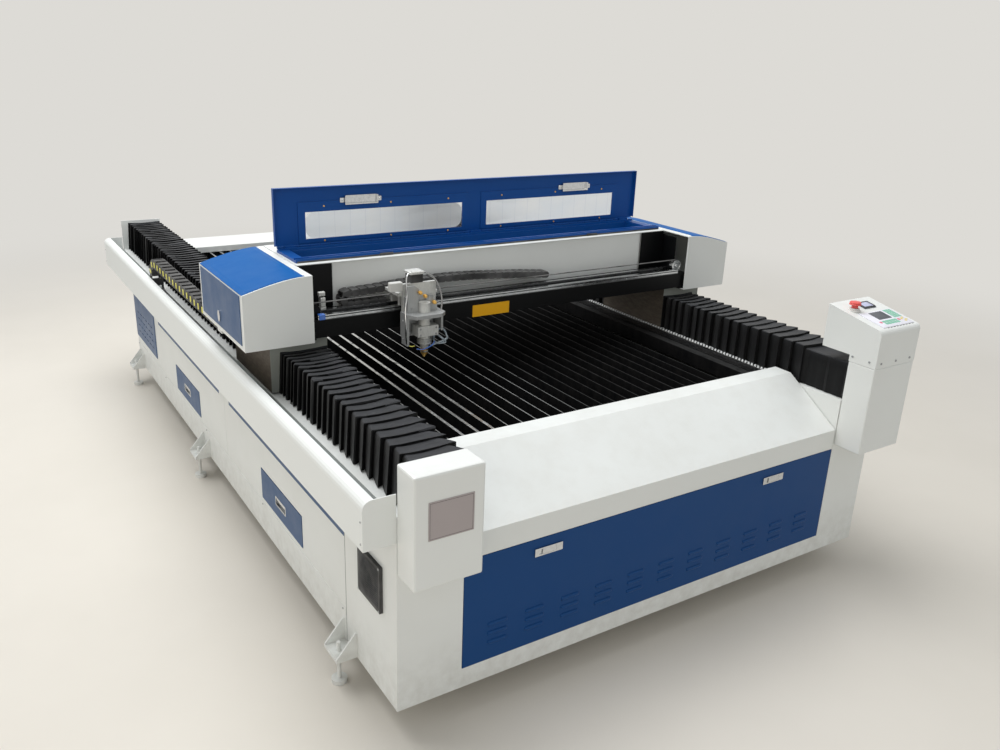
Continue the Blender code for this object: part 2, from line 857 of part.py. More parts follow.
def beam():
    """Black box beam with two X rails, the pale panel behind and the belt."""
    half = COVER_IN - 0.002
    black = box("beam", (-half, half), (BEAM_FRONT, BEAM_BACK), (BEAM_BOT, BEAM_TOP), BLACK)
    for side in (-1, 1):
        tongue = (
            add_box,
            both((half - 0.01, half + 0.030), side),
            (BEAM_FRONT + 0.001, BEAM_BACK - 0.001),
            (COVER_BOT + SHEET + GAP, BEAM_TOP - 0.001),
        )
        bearing = (
            add_box,
            both((PULLEY_X - 0.020, half + 0.010), side),
            (BELT_Y[1] + 0.0045, X_RAIL_Y[1][0] - 0.003),
            (BEAM_TOP - 0.002, PULLEY_Z + 0.015),
        )
        join(black, tongue, bearing)
    idler = (-PULLEY_X, PULLEY_Z)
    idler_y = (BELT_Y[0] - 0.004, BELT_Y[1] + 0.006)
    join(black, (add_round, idler, PULLEY_R, "y", idler_y, 24))
    rail_z = (BEAM_TOP + GAP, X_RAIL_TOP)
    for name, rail_y in zip(("front", "rear"), X_RAIL_Y):
        box(f"x_rail_{name}", (-half + 0.02, half - 0.02), rail_y, rail_z, STEEL)
    box(
        "back_panel",
        (0.128 - COVER_IN, COVER_IN - 0.128),
        (BEAM_BACK + GAP, BEAM_BACK + GAP + SHEET),
        (BEAM_TOP, TOP_Z - GAP),
        WHITE,
    )


def belt_drive():
    """Flat loop of belt round a driven pulley at the right and an idler at the left."""
    wheel = bmesh.new()
    ends = (BELT_Y[0] - 0.004, BELT_Y[1] + 0.004)
    add_round(wheel, (PULLEY_X, PULLEY_Z), PULLEY_R, "y", ends, 24)
    put("x_pulley", wheel, CHROME, pivot=(PULLEY_X, sum(BELT_Y) / 2, PULLEY_Z))
    inner = (PULLEY_R + GAP) / math.cos(math.pi / 16)
    outer = inner + 0.0016
    loops = []
    for radius in (outer, inner):
        loop = []
        for x, turn in ((PULLEY_X, -90), (-PULLEY_X, 90)):
            for step in range(9):
                a = math.radians(turn + 180 * step / 8)
                loop.append((x + radius * math.cos(a), PULLEY_Z + radius * math.sin(a)))
        loops.append(loop)
    bm = bmesh.new()
    rings = [
        [bm.verts.new((x, y, z)) for x, z in loop] for y in BELT_Y for loop in loops
    ]
    count = len(loops[0])
    for i in range(count):
        j = (i + 1) % count
        for a, b in ((0, 1), (1, 3), (3, 2), (2, 0)):
            bm.faces.new((rings[a][i], rings[a][j], rings[b][j], rings[b][i]))
    put("x_belt", bm, RUBBER)


def gantry_housing():
    """White housing behind the beam, open under the lid, with the blue seal frame and hinge rail."""
    half = COVER_IN - 0.002
    back = GANTRY_Y + COVER_D
    front = BEAM_BACK + SHEET + 2 * GAP
    bottom = BEAM_TOP - 0.015
    housing = box("gantry_housing", (-half, half), (front, back), (bottom, TOP_Z + SHEET), WHITE)
    width = LID_HALF - 0.045
    hole = (add_box, (-width, width), OPENING_Y, (TOP_Z - 0.05, TOP_Z + 0.05))
    cut(
        housing,
        (
            add_box,
            (-half + SHEET, half - SHEET),
            (front + SHEET, back - SHEET),
            (bottom + SHEET, TOP_Z),
        ),
        hole,
    )
    lip = (TOP_Z + 0.0005, TOP_Z + SHEET - 0.0005)
    join(housing, (add_box, (-half + 0.001, half - 0.001), (TOP_FRONT, front + 0.02), lip))
    y, z = LID_HINGE
    edge = LID_HALF - 0.007
    low, high = TOP_Z + SHEET + GAP, TOP_Z + SHEET + 0.009
    rail_y = (OPENING_Y[1] + GAP, y - 0.004)
    front_y = (OPENING_Y[0] - 0.026, OPENING_Y[1])
    frame = box("seal_frame", (-edge, edge), front_y, (low, high), BLUE)
    rims = [
        (add_box, (-edge, edge), (start, start + wide), (low, high + 0.005))
        for start, wide in ((front_y[0], 0.004), (OPENING_Y[0] - 0.008, 0.008))
    ]
    join(frame, *rims)
    cut(frame, hole)
    rail = box("hinge_rail", (-edge, edge), rail_y, (low, high), BLUE)
    knuckles = [(add_box, (-edge, edge), (rail_y[0], rail_y[0] + 0.006), (low, high + 0.005))]
    for x in (0.055 - LID_HALF, 0.0, LID_HALF - 0.055):
        span = (x - 0.020, x + 0.020)
        knuckles.append((add_box, span, (y - 0.014, y + 0.002), (low + 0.002, z - GAP)))
    join(rail, *knuckles)


def lid():
    """Lid in one sheet with turned edges, hinged at its lower edge and standing open."""
    y, z = LID_HINGE
    pivot = (0.0, y, z)
    top = z + LID_H
    sheet = 0.002
    turned = 0.015
    plate = box("lid", (-LID_HALF, LID_HALF), (y, y + sheet), (z, top), BLUE, pivot=pivot)
    edges = [(add_box, (-LID_HALF, LID_HALF), (y - turned, y + sheet), (top - sheet, top))]
    for side in (-1, 1):
        x = both((LID_HALF - sheet, LID_HALF), side)
        edges.append((add_box, x, (y - turned, y + sheet), (z + 0.004, top)))
    x0, x1, z0, z1 = WINDOW
    for side in (-1, 1):
        x = both((x0 - 0.026, x1 + 0.027), side)
        edges.append((add_box, x, (y - 0.003, y + 0.001), (z + z0 - 0.013, z + z1 + 0.036)))
    join(plate, *edges)
    openings = []
    for side in (-1, 1):
        openings.append(
            (add_box, both((x0, x1), side), (y - 0.05, y + 0.05), (z + z0, z + z1))
        )
    holes = helper("lid_windows", *openings)
    combine(plate, holes, "DIFFERENCE")
    for name, side in (("left", -1), ("right", 1)):
        span = both((x0 - 0.012, x1 + 0.012), side)
        pane_z = (z + z0 - 0.010, z + z1 + 0.010)
        box(
            f"window_{name}",
            span,
            (y + sheet + GAP, y + sheet + GAP + 0.003),
            pane_z,
            PALE,
            pivot=pivot,
        )
        middle = LID_HALF - 0.330
        low = z + LATCH_LOW
        hasp = box(
            f"lid_latch_{name}",
            both((middle - 0.065, middle + 0.065), side),
            (y - 0.015, y - 0.003 - GAP),
            (low, low + 0.032),
            CHROME,
            pivot=(side * middle, y - 0.003 - GAP, low),
        )
        grip = both((middle - 0.061, middle + 0.061), side)
        cut(hasp, (add_box, grip, (y - 0.020, y - 0.005), (low + 0.004, low + 0.040)))


# carriage and head


def carriage():
    """Saddle on the X rails, the upright plate in front of the beam and the lift motor."""
    x = (CARRIAGE_X - CARRIAGE_W / 2, CARRIAGE_X + CARRIAGE_W / 2)
    saddle_z = (PULLEY_Z + PULLEY_R + 0.006, PULLEY_Z + PULLEY_R + 0.016)
    back = X_RAIL_Y[1][1] + 0.002
    saddle = box("carriage", x, (PLATE_Y[1] - 0.001, back), saddle_z, ALUMINIUM)
    legs = []
    for rail in X_RAIL_Y:
        legs.append(
            (add_box, (x[0] + 0.02, x[1] - 0.02), rail, (X_RAIL_TOP + GAP, saddle_z[0] + 0.004))
        )
    face = (x[0] + 0.012, x[1] - 0.012)
    legs.append((add_box, face, PLATE_Y, (BEAM_BOT - 0.024, saddle_z[1] + 0.035)))
    lobe = [
        (PLATE_Y[1] - 0.001, saddle_z[1] + 0.035),
        (PLATE_Y[1] - 0.001, saddle_z[0] + 0.002),
        (back - 0.020, saddle_z[0] + 0.002),
    ]
    for side in (face[0], face[1] - 0.008):
        legs.append((add_prism, lobe, "x", (side, side + 0.008)))
    join(saddle, *legs)
    motor_x = (CARRIAGE_X - 0.032, CARRIAGE_X + 0.012)
    motor_z = saddle_z[1] + 0.035 + GAP
    box("lift_motor", motor_x, (PLATE_Y[0], PLATE_Y[0] + 0.044), (motor_z, motor_z + 0.030), PLASTIC)


def cutting_head():
    """Sliding plate with a bracket, and the turned head with its clamp block and nozzle."""
    x = CARRIAGE_X
    back = PLATE_Y[0] - GAP
    pivot = (x, HEAD_Y, TIP_Z)
    plate = box(
        "head_plate",
        (x - 0.060, x + 0.045),
        (back - 0.0127, back),
        (TIP_Z + 0.075, SHELF_Z[1] + 0.050),
        ALUMINIUM,
        pivot=pivot,
    )
    front = HEAD_Y - 0.046
    shelf = [
        (x - 0.070, back - 0.001),
        (x - 0.070, front + 0.030),
        (x - 0.052, front),
        (x + 0.045, front),
        (x + 0.068, front + 0.022),
        (x + 0.068, back - 0.001),
    ]
    gusset = [
        (x - 0.060, SHELF_Z[1] - 0.001),
        (x - 0.060, SHELF_Z[1] + 0.092),
        (x - 0.034, SHELF_Z[1] + 0.092),
        (x + 0.052, SHELF_Z[1] + 0.030),
        (x + 0.052, SHELF_Z[1] - 0.001),
    ]
    web = ((x - 0.060, x - 0.052), (back - 0.029, back - 0.001), (SHELF_Z[0], SHELF_Z[1] + 0.040))
    flank = ((x - 0.074, x - 0.066), (front + 0.030, back - 0.010), (TIP_Z + 0.052, SHELF_Z[1]))
    strap = ((x - 0.074, x - 0.052), (back - 0.020, back - 0.001), (TIP_Z + 0.077, SHELF_Z[1]))
    ear = ((x + 0.052, x + 0.060), (front + 0.022, back - 0.001), (SHELF_Z[0] - 0.055, SHELF_Z[1]))
    join(
        plate,
        (add_prism, shelf, "z", SHELF_Z),
        (add_prism, gusset, "y", (back - 0.030, back - 0.022)),
        (add_box, *web),
        (add_box, *flank),
        (add_box, *strap),
        (add_box, *ear),
    )
    centre = (x, HEAD_Y)
    bore = (add_round, centre, 0.0205, "z", (SHELF_Z[0] - 0.02, SHELF_Z[1] + 0.10), 32)
    cut(plate, bore)
    barrel = bmesh.new()
    add_round(barrel, centre, 0.020, "z", (TIP_Z + 0.060, SHELF_Z[1] + 0.034), 28)
    head = put("cutting_head", barrel, ALUMINIUM, pivot=pivot)
    waist = TIP_Z + 0.036
    clamp_z = (waist + 0.047, waist + 0.083)
    join(
        head,
        (add_round, centre, 0.0225, "z", (SHELF_Z[0] - 0.014, SHELF_Z[0] - GAP), 28),
        (add_box, (x - 0.039, x + 0.039), (HEAD_Y - 0.030, HEAD_Y + 0.014), clamp_z),
        (add_round, centre, 0.025, "z", (waist + 0.016, waist + 0.034), 28),
        (add_round, centre, 0.0135, "z", (waist, waist + 0.029), 24, 0.020),
    )
    nozzle = bmesh.new()
    add_round(nozzle, centre, 0.003, "z", (TIP_Z, TIP_Z + 0.016), 24, 0.013)
    tip = put("nozzle", nozzle, BRASS, pivot=pivot)
    join(tip, (add_round, centre, 0.013, "z", (TIP_Z + 0.0159, waist - GAP), 24))


def chain(name, plane, low, high, thick, runs, ends, width):
    """Cable chain lying on its side as one band: lower run, half-round bend, upper run."""
    low_end, high_end = ends
    bend, direction = runs
    middle = (low + high) / 2
    radius = (high - low) / 2
    centre = bend - direction * radius
    points = [(low_end, low)]
    for step in range(13):
        a = math.radians(-90 + 180 * step / 12)
        points.append((centre + direction * radius * math.cos(a), middle + radius * math.sin(a)))
    points.append((high_end, high))
    inner = [(low_end, low + thick)]
    for step in range(13):
        a = math.radians(-90 + 180 * step / 12)
        r = radius - thick
        inner.append((centre + direction * r * math.cos(a), middle + r * math.sin(a)))
    inner.append((high_end, high - thick))
    outline = points + inner[::-1]
    along = "y" if plane == "xz" else "x"
    return prism(name, outline, along, width, PLASTIC)


def chains():
    """One chain on the beam for the carriage and one in the left trough for the gantry."""
    chain(
        "x_chain",
        "xz",
        BEAM_TOP + GAP,
        BEAM_TOP + 0.080,
        0.024,
        (0.138 - COVER_IN, -1),
        (CARRIAGE_X - 0.060, 0.200),
        (BEAM_BACK - 0.054, BEAM_BACK - 0.006),
    )
    x = -HALF - 0.004 - CHAIN_W
    chain(
        "y_chain",
        "yz",
        TROUGH_FLOOR + GAP,
        CHAIN_TOP,
        LINK_H,
        (CHAIN_BEND, 1),
        (CHAIN_FIXED, FOOT_Y[1] + 0.010 + GAP),
        (x, x + CHAIN_W),
    )


def build():
    clear_scene()
    bed_frame()
    drawers()
    top_frame()
    troughs()
    vent_plate()
    front_cabinet()
    fan()
    front_door()
    front_hood()
    rear_hood()
    corner_box()
    column()
    rails()
    all_bellows()
    table()
    end_covers()
    gantry_feet()
    beam()
    belt_drive()
    gantry_housing()
    lid()
    carriage()
    cutting_head()
    chains()


build()
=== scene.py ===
# %% [markdown]
# # Dressing a flat-bed fiber laser cutting machine
# The machine is a long white cabinet bed with a travelling gantry. Its solids come packed from
# the CAD side, in metres, with X across, Y from the front cabinet to the rear and Z up from the
# floor. This file gives every solid a finish and adds the pieces that a faceted solid can't
# carry well: folded bellows, cable chains, pressed louvres, screws, skins and hoses.

# %% Load the fixed frame
import math

import bpy
import numpy as np
from mathutils import Matrix, Vector


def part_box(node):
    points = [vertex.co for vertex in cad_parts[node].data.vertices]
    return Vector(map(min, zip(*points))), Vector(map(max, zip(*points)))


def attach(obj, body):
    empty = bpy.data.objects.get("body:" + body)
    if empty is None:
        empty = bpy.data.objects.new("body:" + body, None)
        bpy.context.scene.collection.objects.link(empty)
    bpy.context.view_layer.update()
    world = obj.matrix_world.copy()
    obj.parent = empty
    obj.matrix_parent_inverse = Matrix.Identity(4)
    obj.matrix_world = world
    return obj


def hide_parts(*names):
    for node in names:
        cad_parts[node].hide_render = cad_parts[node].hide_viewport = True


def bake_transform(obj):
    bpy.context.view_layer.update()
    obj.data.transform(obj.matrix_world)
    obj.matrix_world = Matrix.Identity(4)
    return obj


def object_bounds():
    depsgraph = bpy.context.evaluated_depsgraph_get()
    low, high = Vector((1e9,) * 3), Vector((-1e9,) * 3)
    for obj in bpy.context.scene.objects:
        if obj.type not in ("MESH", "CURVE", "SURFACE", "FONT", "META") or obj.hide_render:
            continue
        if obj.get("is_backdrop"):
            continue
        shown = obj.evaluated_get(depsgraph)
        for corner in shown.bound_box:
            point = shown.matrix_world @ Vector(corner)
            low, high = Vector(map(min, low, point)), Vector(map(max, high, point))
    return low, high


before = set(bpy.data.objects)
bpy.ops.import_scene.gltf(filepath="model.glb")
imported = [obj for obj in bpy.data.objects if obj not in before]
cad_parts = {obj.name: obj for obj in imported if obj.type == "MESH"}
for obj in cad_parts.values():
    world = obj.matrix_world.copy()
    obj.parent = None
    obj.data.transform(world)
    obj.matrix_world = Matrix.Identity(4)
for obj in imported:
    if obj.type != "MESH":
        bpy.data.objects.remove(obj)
cad_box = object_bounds()

# %% [markdown]
# ## Camera
# A photograph's camera is found by matching straight edges of the machine. What comes out is a
# place, three directions and a focal length of 886 pixels on a picture 1000 pixels wide, which
# on a 36 mm sensor is a 31.9 mm lens. Setting the matrix avoids any doubt about angles.

# %% Set the camera
FRONT = float(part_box("front_cabinet")[0][1])
eye = Vector((-1.8135, FRONT - 1.7613, 1.8019))
right = Vector((0.84401, -0.53510, 0.03618))
up = Vector((0.15606, 0.30958, 0.93798))
back = -Vector((0.51312, 0.78602, -0.34479))
camera_data = bpy.data.cameras.new("camera")
camera_data.sensor_width = 36.0
camera_data.lens = 886.366 / 1000 * 36.0
camera_data.clip_end = 200.0
camera = bpy.data.objects.new("camera", camera_data)
camera.matrix_world = Matrix.Translation(eye) @ Matrix((right, up, back)).transposed().to_4x4()
bpy.context.scene.collection.objects.link(camera)
bpy.context.scene.camera = camera
print("camera", [round(v, 3) for v in eye], "lens", round(camera_data.lens, 2))

# %% [markdown]
# ## Colours and nodes
# Colours are picked as sRGB hex codes, as a paint chart gives them, and a shader wants them
# linear. One function turns them. A second one adds any shader node with its settings and
# links. Every finish could be wired by hand from there, but real finishes share a few patterns:
# soft patches, a ramp along an axis, colours laid over one another, and a shallow relief.

# %% From a paint chart to a shader
def linear(code):
    """sRGB hex to linear: c / 12.92 up to 0.04045, and ((c + 0.055) / 1.055) ** 2.4 above."""
    parts = [int(code[i:i + 2], 16) / 255 for i in (1, 3, 5)]
    return (*[c / 12.92 if c <= 0.04045 else ((c + 0.055) / 1.055) ** 2.4 for c in parts], 1.0)


def node(tree, kind, inputs=None, **settings):
    """Add one node: settings are its properties, inputs are values or sockets to link."""
    made = tree.nodes.new(kind)
    for name, value in settings.items():
        setattr(made, name, value)
    for key, value in (inputs or {}).items():
        if isinstance(value, bpy.types.NodeSocket):
            tree.links.new(value, made.inputs[key])
        else:
            made.inputs[key].default_value = value
    return made


def start(name, roughness, metallic=0.0, **sockets):
    """A new material: its tree, its shader with constants set, and the object coordinates."""
    made = bpy.data.materials.new(name)
    made.use_nodes = True
    tree = made.node_tree
    shader = tree.nodes["Principled BSDF"]
    shader.inputs["Roughness"].default_value = roughness
    shader.inputs["Metallic"].default_value = metallic
    for key, value in sockets.items():
        shader.inputs[key.replace("_", " ")].default_value = value
    return made, tree, shader, node(tree, "ShaderNodeTexCoord").outputs["Object"]


print("mid grey #808080 is", round(linear("#808080")[0], 3), "linear")

# %% Patterns that the finishes share
def patches(tree, where, size_mm, low, high, detail=3.0, stretch=(1.0, 1.0, 1.0)):
    """Soft 0 to 1 patches about size_mm across: noise, cut between low and high."""
    scaled = node(tree, "ShaderNodeMapping", {"Vector": where, "Scale": stretch})
    noise = node(tree, "ShaderNodeTexNoise", {
        "Vector": scaled.outputs[0], "Scale": 1000.0 / size_mm, "Detail": detail, "Roughness": 0.6})
    return node(tree, "ShaderNodeMapRange", {
        "Value": noise.outputs["Fac"], "From Min": low, "From Max": high}).outputs[0]


def ramp(tree, vector, axis, low, high):
    """0 to 1 as the vector's part along an axis goes from low to high, in metres for a place."""
    part = node(tree, "ShaderNodeVectorMath", {0: vector, 1: axis}, operation="DOT_PRODUCT")
    return node(tree, "ShaderNodeMapRange", {
        "Value": part.outputs["Value"], "From Min": low, "From Max": high}).outputs[0]


def facing(tree, axis, low, high):
    """0 to 1 as the surface turns towards an axis: the same ramp on its normal."""
    return ramp(tree, node(tree, "ShaderNodeNewGeometry").outputs["Normal"], axis, low, high)


def product(tree, first, *others):
    """Shares multiplied together, each a socket or a number."""
    for other in others:
        first = node(tree, "ShaderNodeMath", {0: first, 1: other}, operation="MULTIPLY").outputs[0]
    return first


def coats(tree, base, *layers):
    """Colours laid over a base. A layer is a colour and the shares whose product says how much
    of it covers what lies below. Colours are hex codes or sockets."""
    for colour, *shares in layers:
        below, above = [linear(c) if isinstance(c, str) else c for c in (base, colour)]
        cover = {0: product(tree, *shares), 6: below, 7: above}
        base = node(tree, "ShaderNodeMix", cover, data_type="RGBA").outputs[2]
    return base


def surface(tree, shader, colour, height=None, depth_mm=0.0, rough=None):
    """Link what varies: colour, roughness, and a 0 to 1 height as relief depth_mm deep."""
    tree.links.new(colour, shader.inputs["Base Color"])
    if rough is not None:
        tree.links.new(rough, shader.inputs["Roughness"])
    if height is not None:
        bump = node(tree, "ShaderNodeBump", {
            "Height": height, "Strength": 1.0, "Distance": depth_mm / 1000.0})
        tree.links.new(bump.outputs[0], shader.inputs["Normal"])


UP = (0, 0, 1)
print("a 3 mm grain is noise at scale", round(1000.0 / 3))

# %% [markdown]
# ## Powder-coated steel
# Nearly every skin of this machine is folded steel sheet under powder coat: dry paint powder,
# charged on to the sheet and baked. It is a dielectric, so metallic is 0 and the IOR near 1.5,
# it flows out to a fine orange peel some 3 mm from crest to crest, and its gloss is middling.
# A workshop adds a thin film of dust on faces that look up, a greyer band near the floor, and
# soot on all that stands in the slag chamber. The dirt could be painted by hand on a texture.
# Here it follows from where a face is and where it looks, so it also fits pieces that change.

# %% White and blue powder coat
def chamber(tree, where):
    """1 inside the slag chamber under the table, 0 outside: the product of five soft steps."""
    low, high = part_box("slat_table")
    share = ramp(tree, where, UP, high[2] - 0.004, high[2] - 0.010)
    for axis, near, far in (((1, 0, 0), low[0], high[0]), ((0, 1, 0), low[1], high[1])):
        inside = ramp(tree, where, axis, near - 0.016, near - 0.008)
        share = product(tree, share, inside, ramp(tree, where, axis, far + 0.016, far + 0.008))
    return share


def powder_coat(name, code, dust="#B9B4A8", gloss=0.36, dusty=0.16, floor_grime=0.0, shine=0.5,
                sooty=False):
    """Paint under a thin cloud of dust, patches of it on top faces, specks 7 mm apart, grime
    that ends 0.30 m above the floor, and soot in the slag chamber."""
    made, tree, shader, where = start(name, gloss, IOR=1.5, Specular_IOR_Level=shine,
                                      Coat_Weight=0.2 * shine, Coat_Roughness=0.2)
    settled = patches(tree, where, 60, 0.42, 0.78, 5.0)
    colour = coats(tree, code,
                   (dust, patches(tree, where, 420, 0.35, 0.70), 0.10),
                   (dust, settled, facing(tree, UP, 0.3, 1.0), dusty),
                   ("#6F685C", patches(tree, where, 7, 0.74, 0.80, 2.0), 0.22))
    if floor_grime:
        near_floor = ramp(tree, where, UP, 0.30, 0.08)
        splashed = patches(tree, where, 35, 0.25, 0.75)
        colour = coats(tree, colour, ("#8E8778", near_floor, splashed, floor_grime))
    if sooty:
        soot = node(tree, "ShaderNodeMapRange", {
            "Value": patches(tree, where, 50, 0.3, 0.7), "To Min": 0.86, "To Max": 0.98})
        colour = coats(tree, colour, ("#1E1D1B", chamber(tree, where), soot.outputs[0]))
    worn = node(tree, "ShaderNodeMapRange", {
        "Value": patches(tree, where, 90, 0.3, 0.75), "To Min": gloss - 0.05, "To Max": gloss + 0.10})
    surface(tree, shader, colour, patches(tree, where, 3, 0.2, 0.8, 1.0), 0.03, worn.outputs[0])
    return made


WHITE = powder_coat("white_powder_coat", "#E6E9E7", floor_grime=0.35, sooty=True)
# The four blues below are one blue paint seen in different light: the cover tops' brighter blue is painted
# light, the front door's darker blue is painted shade, and the greyer hatch blue, also on the drawers, vent
# plate, cover door and side lines, is a painted reflection of the sky at a grazing angle.
LID_BLUE = powder_coat("deep_blue_powder_coat", "#0D4A94", "#3F6796", 0.34, 0.16, shine=0.18)
LIT_TOP_BLUE = powder_coat("blue_powder_coat_painted_light", "#00569C", "#2A6CA2", 0.50, 0.10, shine=0.10)
SHADED_DOOR_BLUE = powder_coat("blue_powder_coat_painted_shade", "#10427A", "#3C597A", 0.36, 0.10, shine=0.14)
SKY_REFLECTING_HATCH_BLUE = powder_coat("blue_powder_coat_painted_sky_reflection", "#34557F", "#5A7090", 0.40, 0.10, shine=0.25,
                         sooty=True)
PLATE_GREY = powder_coat("grey_label_plate", "#A89F9F", "#C0B8B6", 0.42, 0.10)
VINYL_YELLOW = powder_coat("yellow_vinyl_field", "#F4B313", "#D9A63A", 0.42, 0.06, shine=0.3)
print("powder coats:", sum("coat" in m.name for m in bpy.data.materials))

# %% [markdown]
# ## Dark and primed steel
# The gantry beam is black satin paint. The feet under it keep a brown-grey primer that shop
# dust has dulled, paler on the face that was wiped. The troughs are powder-coated like the
# bed, and their floors and lower walls are grey, partly with swarf and dust and partly as
# painted shade deep in the trough. One shared paint would do from afar, but each of them shows
# its own dirt, and the troughs their shade too, so each gets a short recipe.

# %% Black paint, primer and trough paint
def black_paint():
    """Satin black, with grey dust in patches on its top faces."""
    made, tree, shader, where = start("black_satin_paint", 0.42, IOR=1.5, Specular_IOR_Level=0.18)
    dust = patches(tree, where, 45, 0.40, 0.80, 5.0)
    colour = coats(tree, "#08090B", ("#454340", dust, facing(tree, UP, 0.2, 1.0), 0.22))
    surface(tree, shader, colour, patches(tree, where, 3, 0.2, 0.8, 1.0), 0.04)
    return made


def primer():
    """Matt primer in level brush streaks 8 mm high, wiped paler in front."""
    made, tree, shader, where = start("brown_grey_primer", 0.62, IOR=1.5)
    brushed = patches(tree, where, 24, 0.30, 0.72, 4.0, (1.0, 1.0, 3.0))
    wiped = facing(tree, (0, -1, 0), 0.5, 0.8)
    surface(tree, shader, coats(tree, "#4A4239", ("#655C50", brushed), ("#8D918B", wiped)), brushed, 0.15)
    return made


def trough_paint():
    """White outside. The floor and the walls below the rim turn grey, darker downwards: partly
    dust and swarf, partly painted shade deep in the trough. The outer skins, past |x| of the
    outer wall, and the two end faces stay white."""
    made, tree, shader, where = start("trough_powder_coat_with_painted_shade", 0.40, IOR=1.5)
    rim = float(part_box("trough_left")[1][2])
    outer_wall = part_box("trough_right")[1][0] - 0.030
    offset = node(tree, "ShaderNodeSeparateXYZ", {0: where}).outputs[0]
    across = node(tree, "ShaderNodeMath", {0: offset}, operation="ABSOLUTE").outputs[0]
    inside = node(tree, "ShaderNodeMath", {0: across, 1: outer_wall}, operation="LESS_THAN").outputs[0]
    depth = ramp(tree, where, UP, rim - 0.030, rim - 0.110)
    not_ends = [facing(tree, (0, way, 0), 0.9, 0.5) for way in (1, -1)]
    swarf_and_shade = patches(tree, where, 70, 0.05, 0.55)
    # grey #77807F below the rim, deeper down: partly dust and swarf, partly painted shade
    colour = coats(tree, "#E6E9E7", ("#77807F", depth, inside, swarf_and_shade, *not_ends))
    surface(tree, shader, colour, patches(tree, where, 3, 0.2, 0.8, 1.0), 0.03)
    return made


BLACK = black_paint()
PRIMER = primer()
TROUGH = trough_paint()
print("dark paints:", BLACK.name, PRIMER.name, TROUGH.name)

# %% [markdown]
# ## Bare metals
# Metals keep the shader's own IOR and take their colour from the base. Ground rails show fine
# lines along their length, milled aluminium is satin, plated pieces are nearly mirrors. A part
# that is grey with oxide or fingerprints reflects less cleanly, which a metallic share below 1
# stands for. The slats are mild steel: a bright sheared top edge over sides blackened by
# cutting smoke, the bright edge fading out from the left of the table. A scratch texture would
# need a picture; noise stretched along the tool's path gives the same lines at any size.

# %% Steel, aluminium, nickel and brass
def worked_metal(name, code, shade, roughness, grain_mm, stretch, depth_mm=0.03, spread=0.12, metal=1.0):
    """A machined metal: fine lines from noise stretched along the tool's path."""
    made, tree, shader, where = start(name, roughness, metal)
    lines = patches(tree, where, grain_mm, 0.25, 0.75, 4.0, stretch)
    rough = node(tree, "ShaderNodeMapRange", {
        "Value": patches(tree, where, 18, 0.3, 0.7), "To Min": roughness, "To Max": roughness + spread})
    surface(tree, shader, coats(tree, code, (shade, lines)), lines, depth_mm, rough.outputs[0])
    return made


EVEN, ON_X, ON_Y, ON_Z = (1.0, 1.0, 1.0), (0.05, 1.0, 1.0), (1.0, 0.05, 1.0), (1.0, 1.0, 0.2)
RAIL = worked_metal("ground_rail_steel", "#D4D6D8", "#A9ADB1", 0.16, 4, ON_X)
Y_RAIL = worked_metal("ground_rail_steel_lengthwise", "#D4D6D8", "#A9ADB1", 0.16, 4, ON_Y)
ALUMINIUM = worked_metal("milled_aluminium", "#DFE0DD", "#C4C6C3", 0.42, 3, ON_Z, metal=0.55)
GREY_PLATE = worked_metal("anodised_grey_aluminium", "#B4B6B6", "#A0A3A4", 0.40, 3, ON_Z, metal=0.5)
NICKEL = worked_metal("bright_nickel_plate", "#DADCDE", "#C6C8CA", 0.09, 12, EVEN, 0.01, 0.08)
BRASS = worked_metal("turned_brass", "#F2C878", "#D9A850", 0.24, 2, (0.3, 0.3, 1.0), metal=0.8)
ZINC = worked_metal("zinc_plated_screw", "#B9BCBE", "#8E9194", 0.28, 6, EVEN)
# near white and barely metallic: the pale sky's reflection in ground steel, painted into the colour
RACK_PAINTED_REFLECTION = worked_metal("rack_teeth_painted_sky_reflection", "#EEF0F0", "#DADDDD", 0.50, 5, EVEN, metal=0.25)
BRAID = worked_metal("steel_braid", "#D2D4D6", "#2C2E31", 0.30, 1.6, EVEN, 0.08, 0.30)
print("worked metals:", RAIL.name, ALUMINIUM.name, NICKEL.name, BRASS.name)

# %% Slats under cutting scale
def slat_steel():
    """Blades: dark oxide on the sides; on the top edge bare steel, broken by spatter.

    The bright share is (normal up) x (height in the top 2 mm) x (patches 25 mm long) x (a fade
    from the left edge of the table to 0.66 m from it)."""
    made, tree, shader, where = start("slat_steel_with_cutting_scale", 0.45, 0.9,
                                      Specular_IOR_Level=0.12)
    top = float(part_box("slat_table")[1][2])
    left = float(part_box("slat_table")[0][0])
    edge = ramp(tree, where, UP, top - 0.003, top - 0.001)
    spatter = patches(tree, where, 25, 0.30, 0.46, 4.0, (1.0, 0.6, 1.0))
    fade_from_left = node(tree, "ShaderNodeMapRange", {
        "Value": ramp(tree, where, (1, 0, 0), left + 0.66, left + 0.26), "To Min": 0.03, "To Max": 1.0})
    bright = product(tree, facing(tree, UP, 0.6, 0.9), edge, spatter, fade_from_left.outputs[0])
    oxide = patches(tree, where, 30, 0.35, 0.75, 5.0, (1.0, 1.0, 0.4))
    colour = coats(tree, "#0D0E10", ("#1E1D1D", oxide), ("#D6D8D8", bright))
    metal = node(tree, "ShaderNodeMapRange", {"Value": bright, "To Min": 0.25, "To Max": 1.0})
    tree.links.new(metal.outputs[0], shader.inputs["Metallic"])
    rough = node(tree, "ShaderNodeMapRange", {"Value": bright, "To Min": 0.62, "To Max": 0.28})
    surface(tree, shader, colour, patches(tree, where, 8, 0.3, 0.7, 4.0), 0.20, rough.outputs[0])
    return made


SLATS = slat_steel()
print("slats:", SLATS.name)
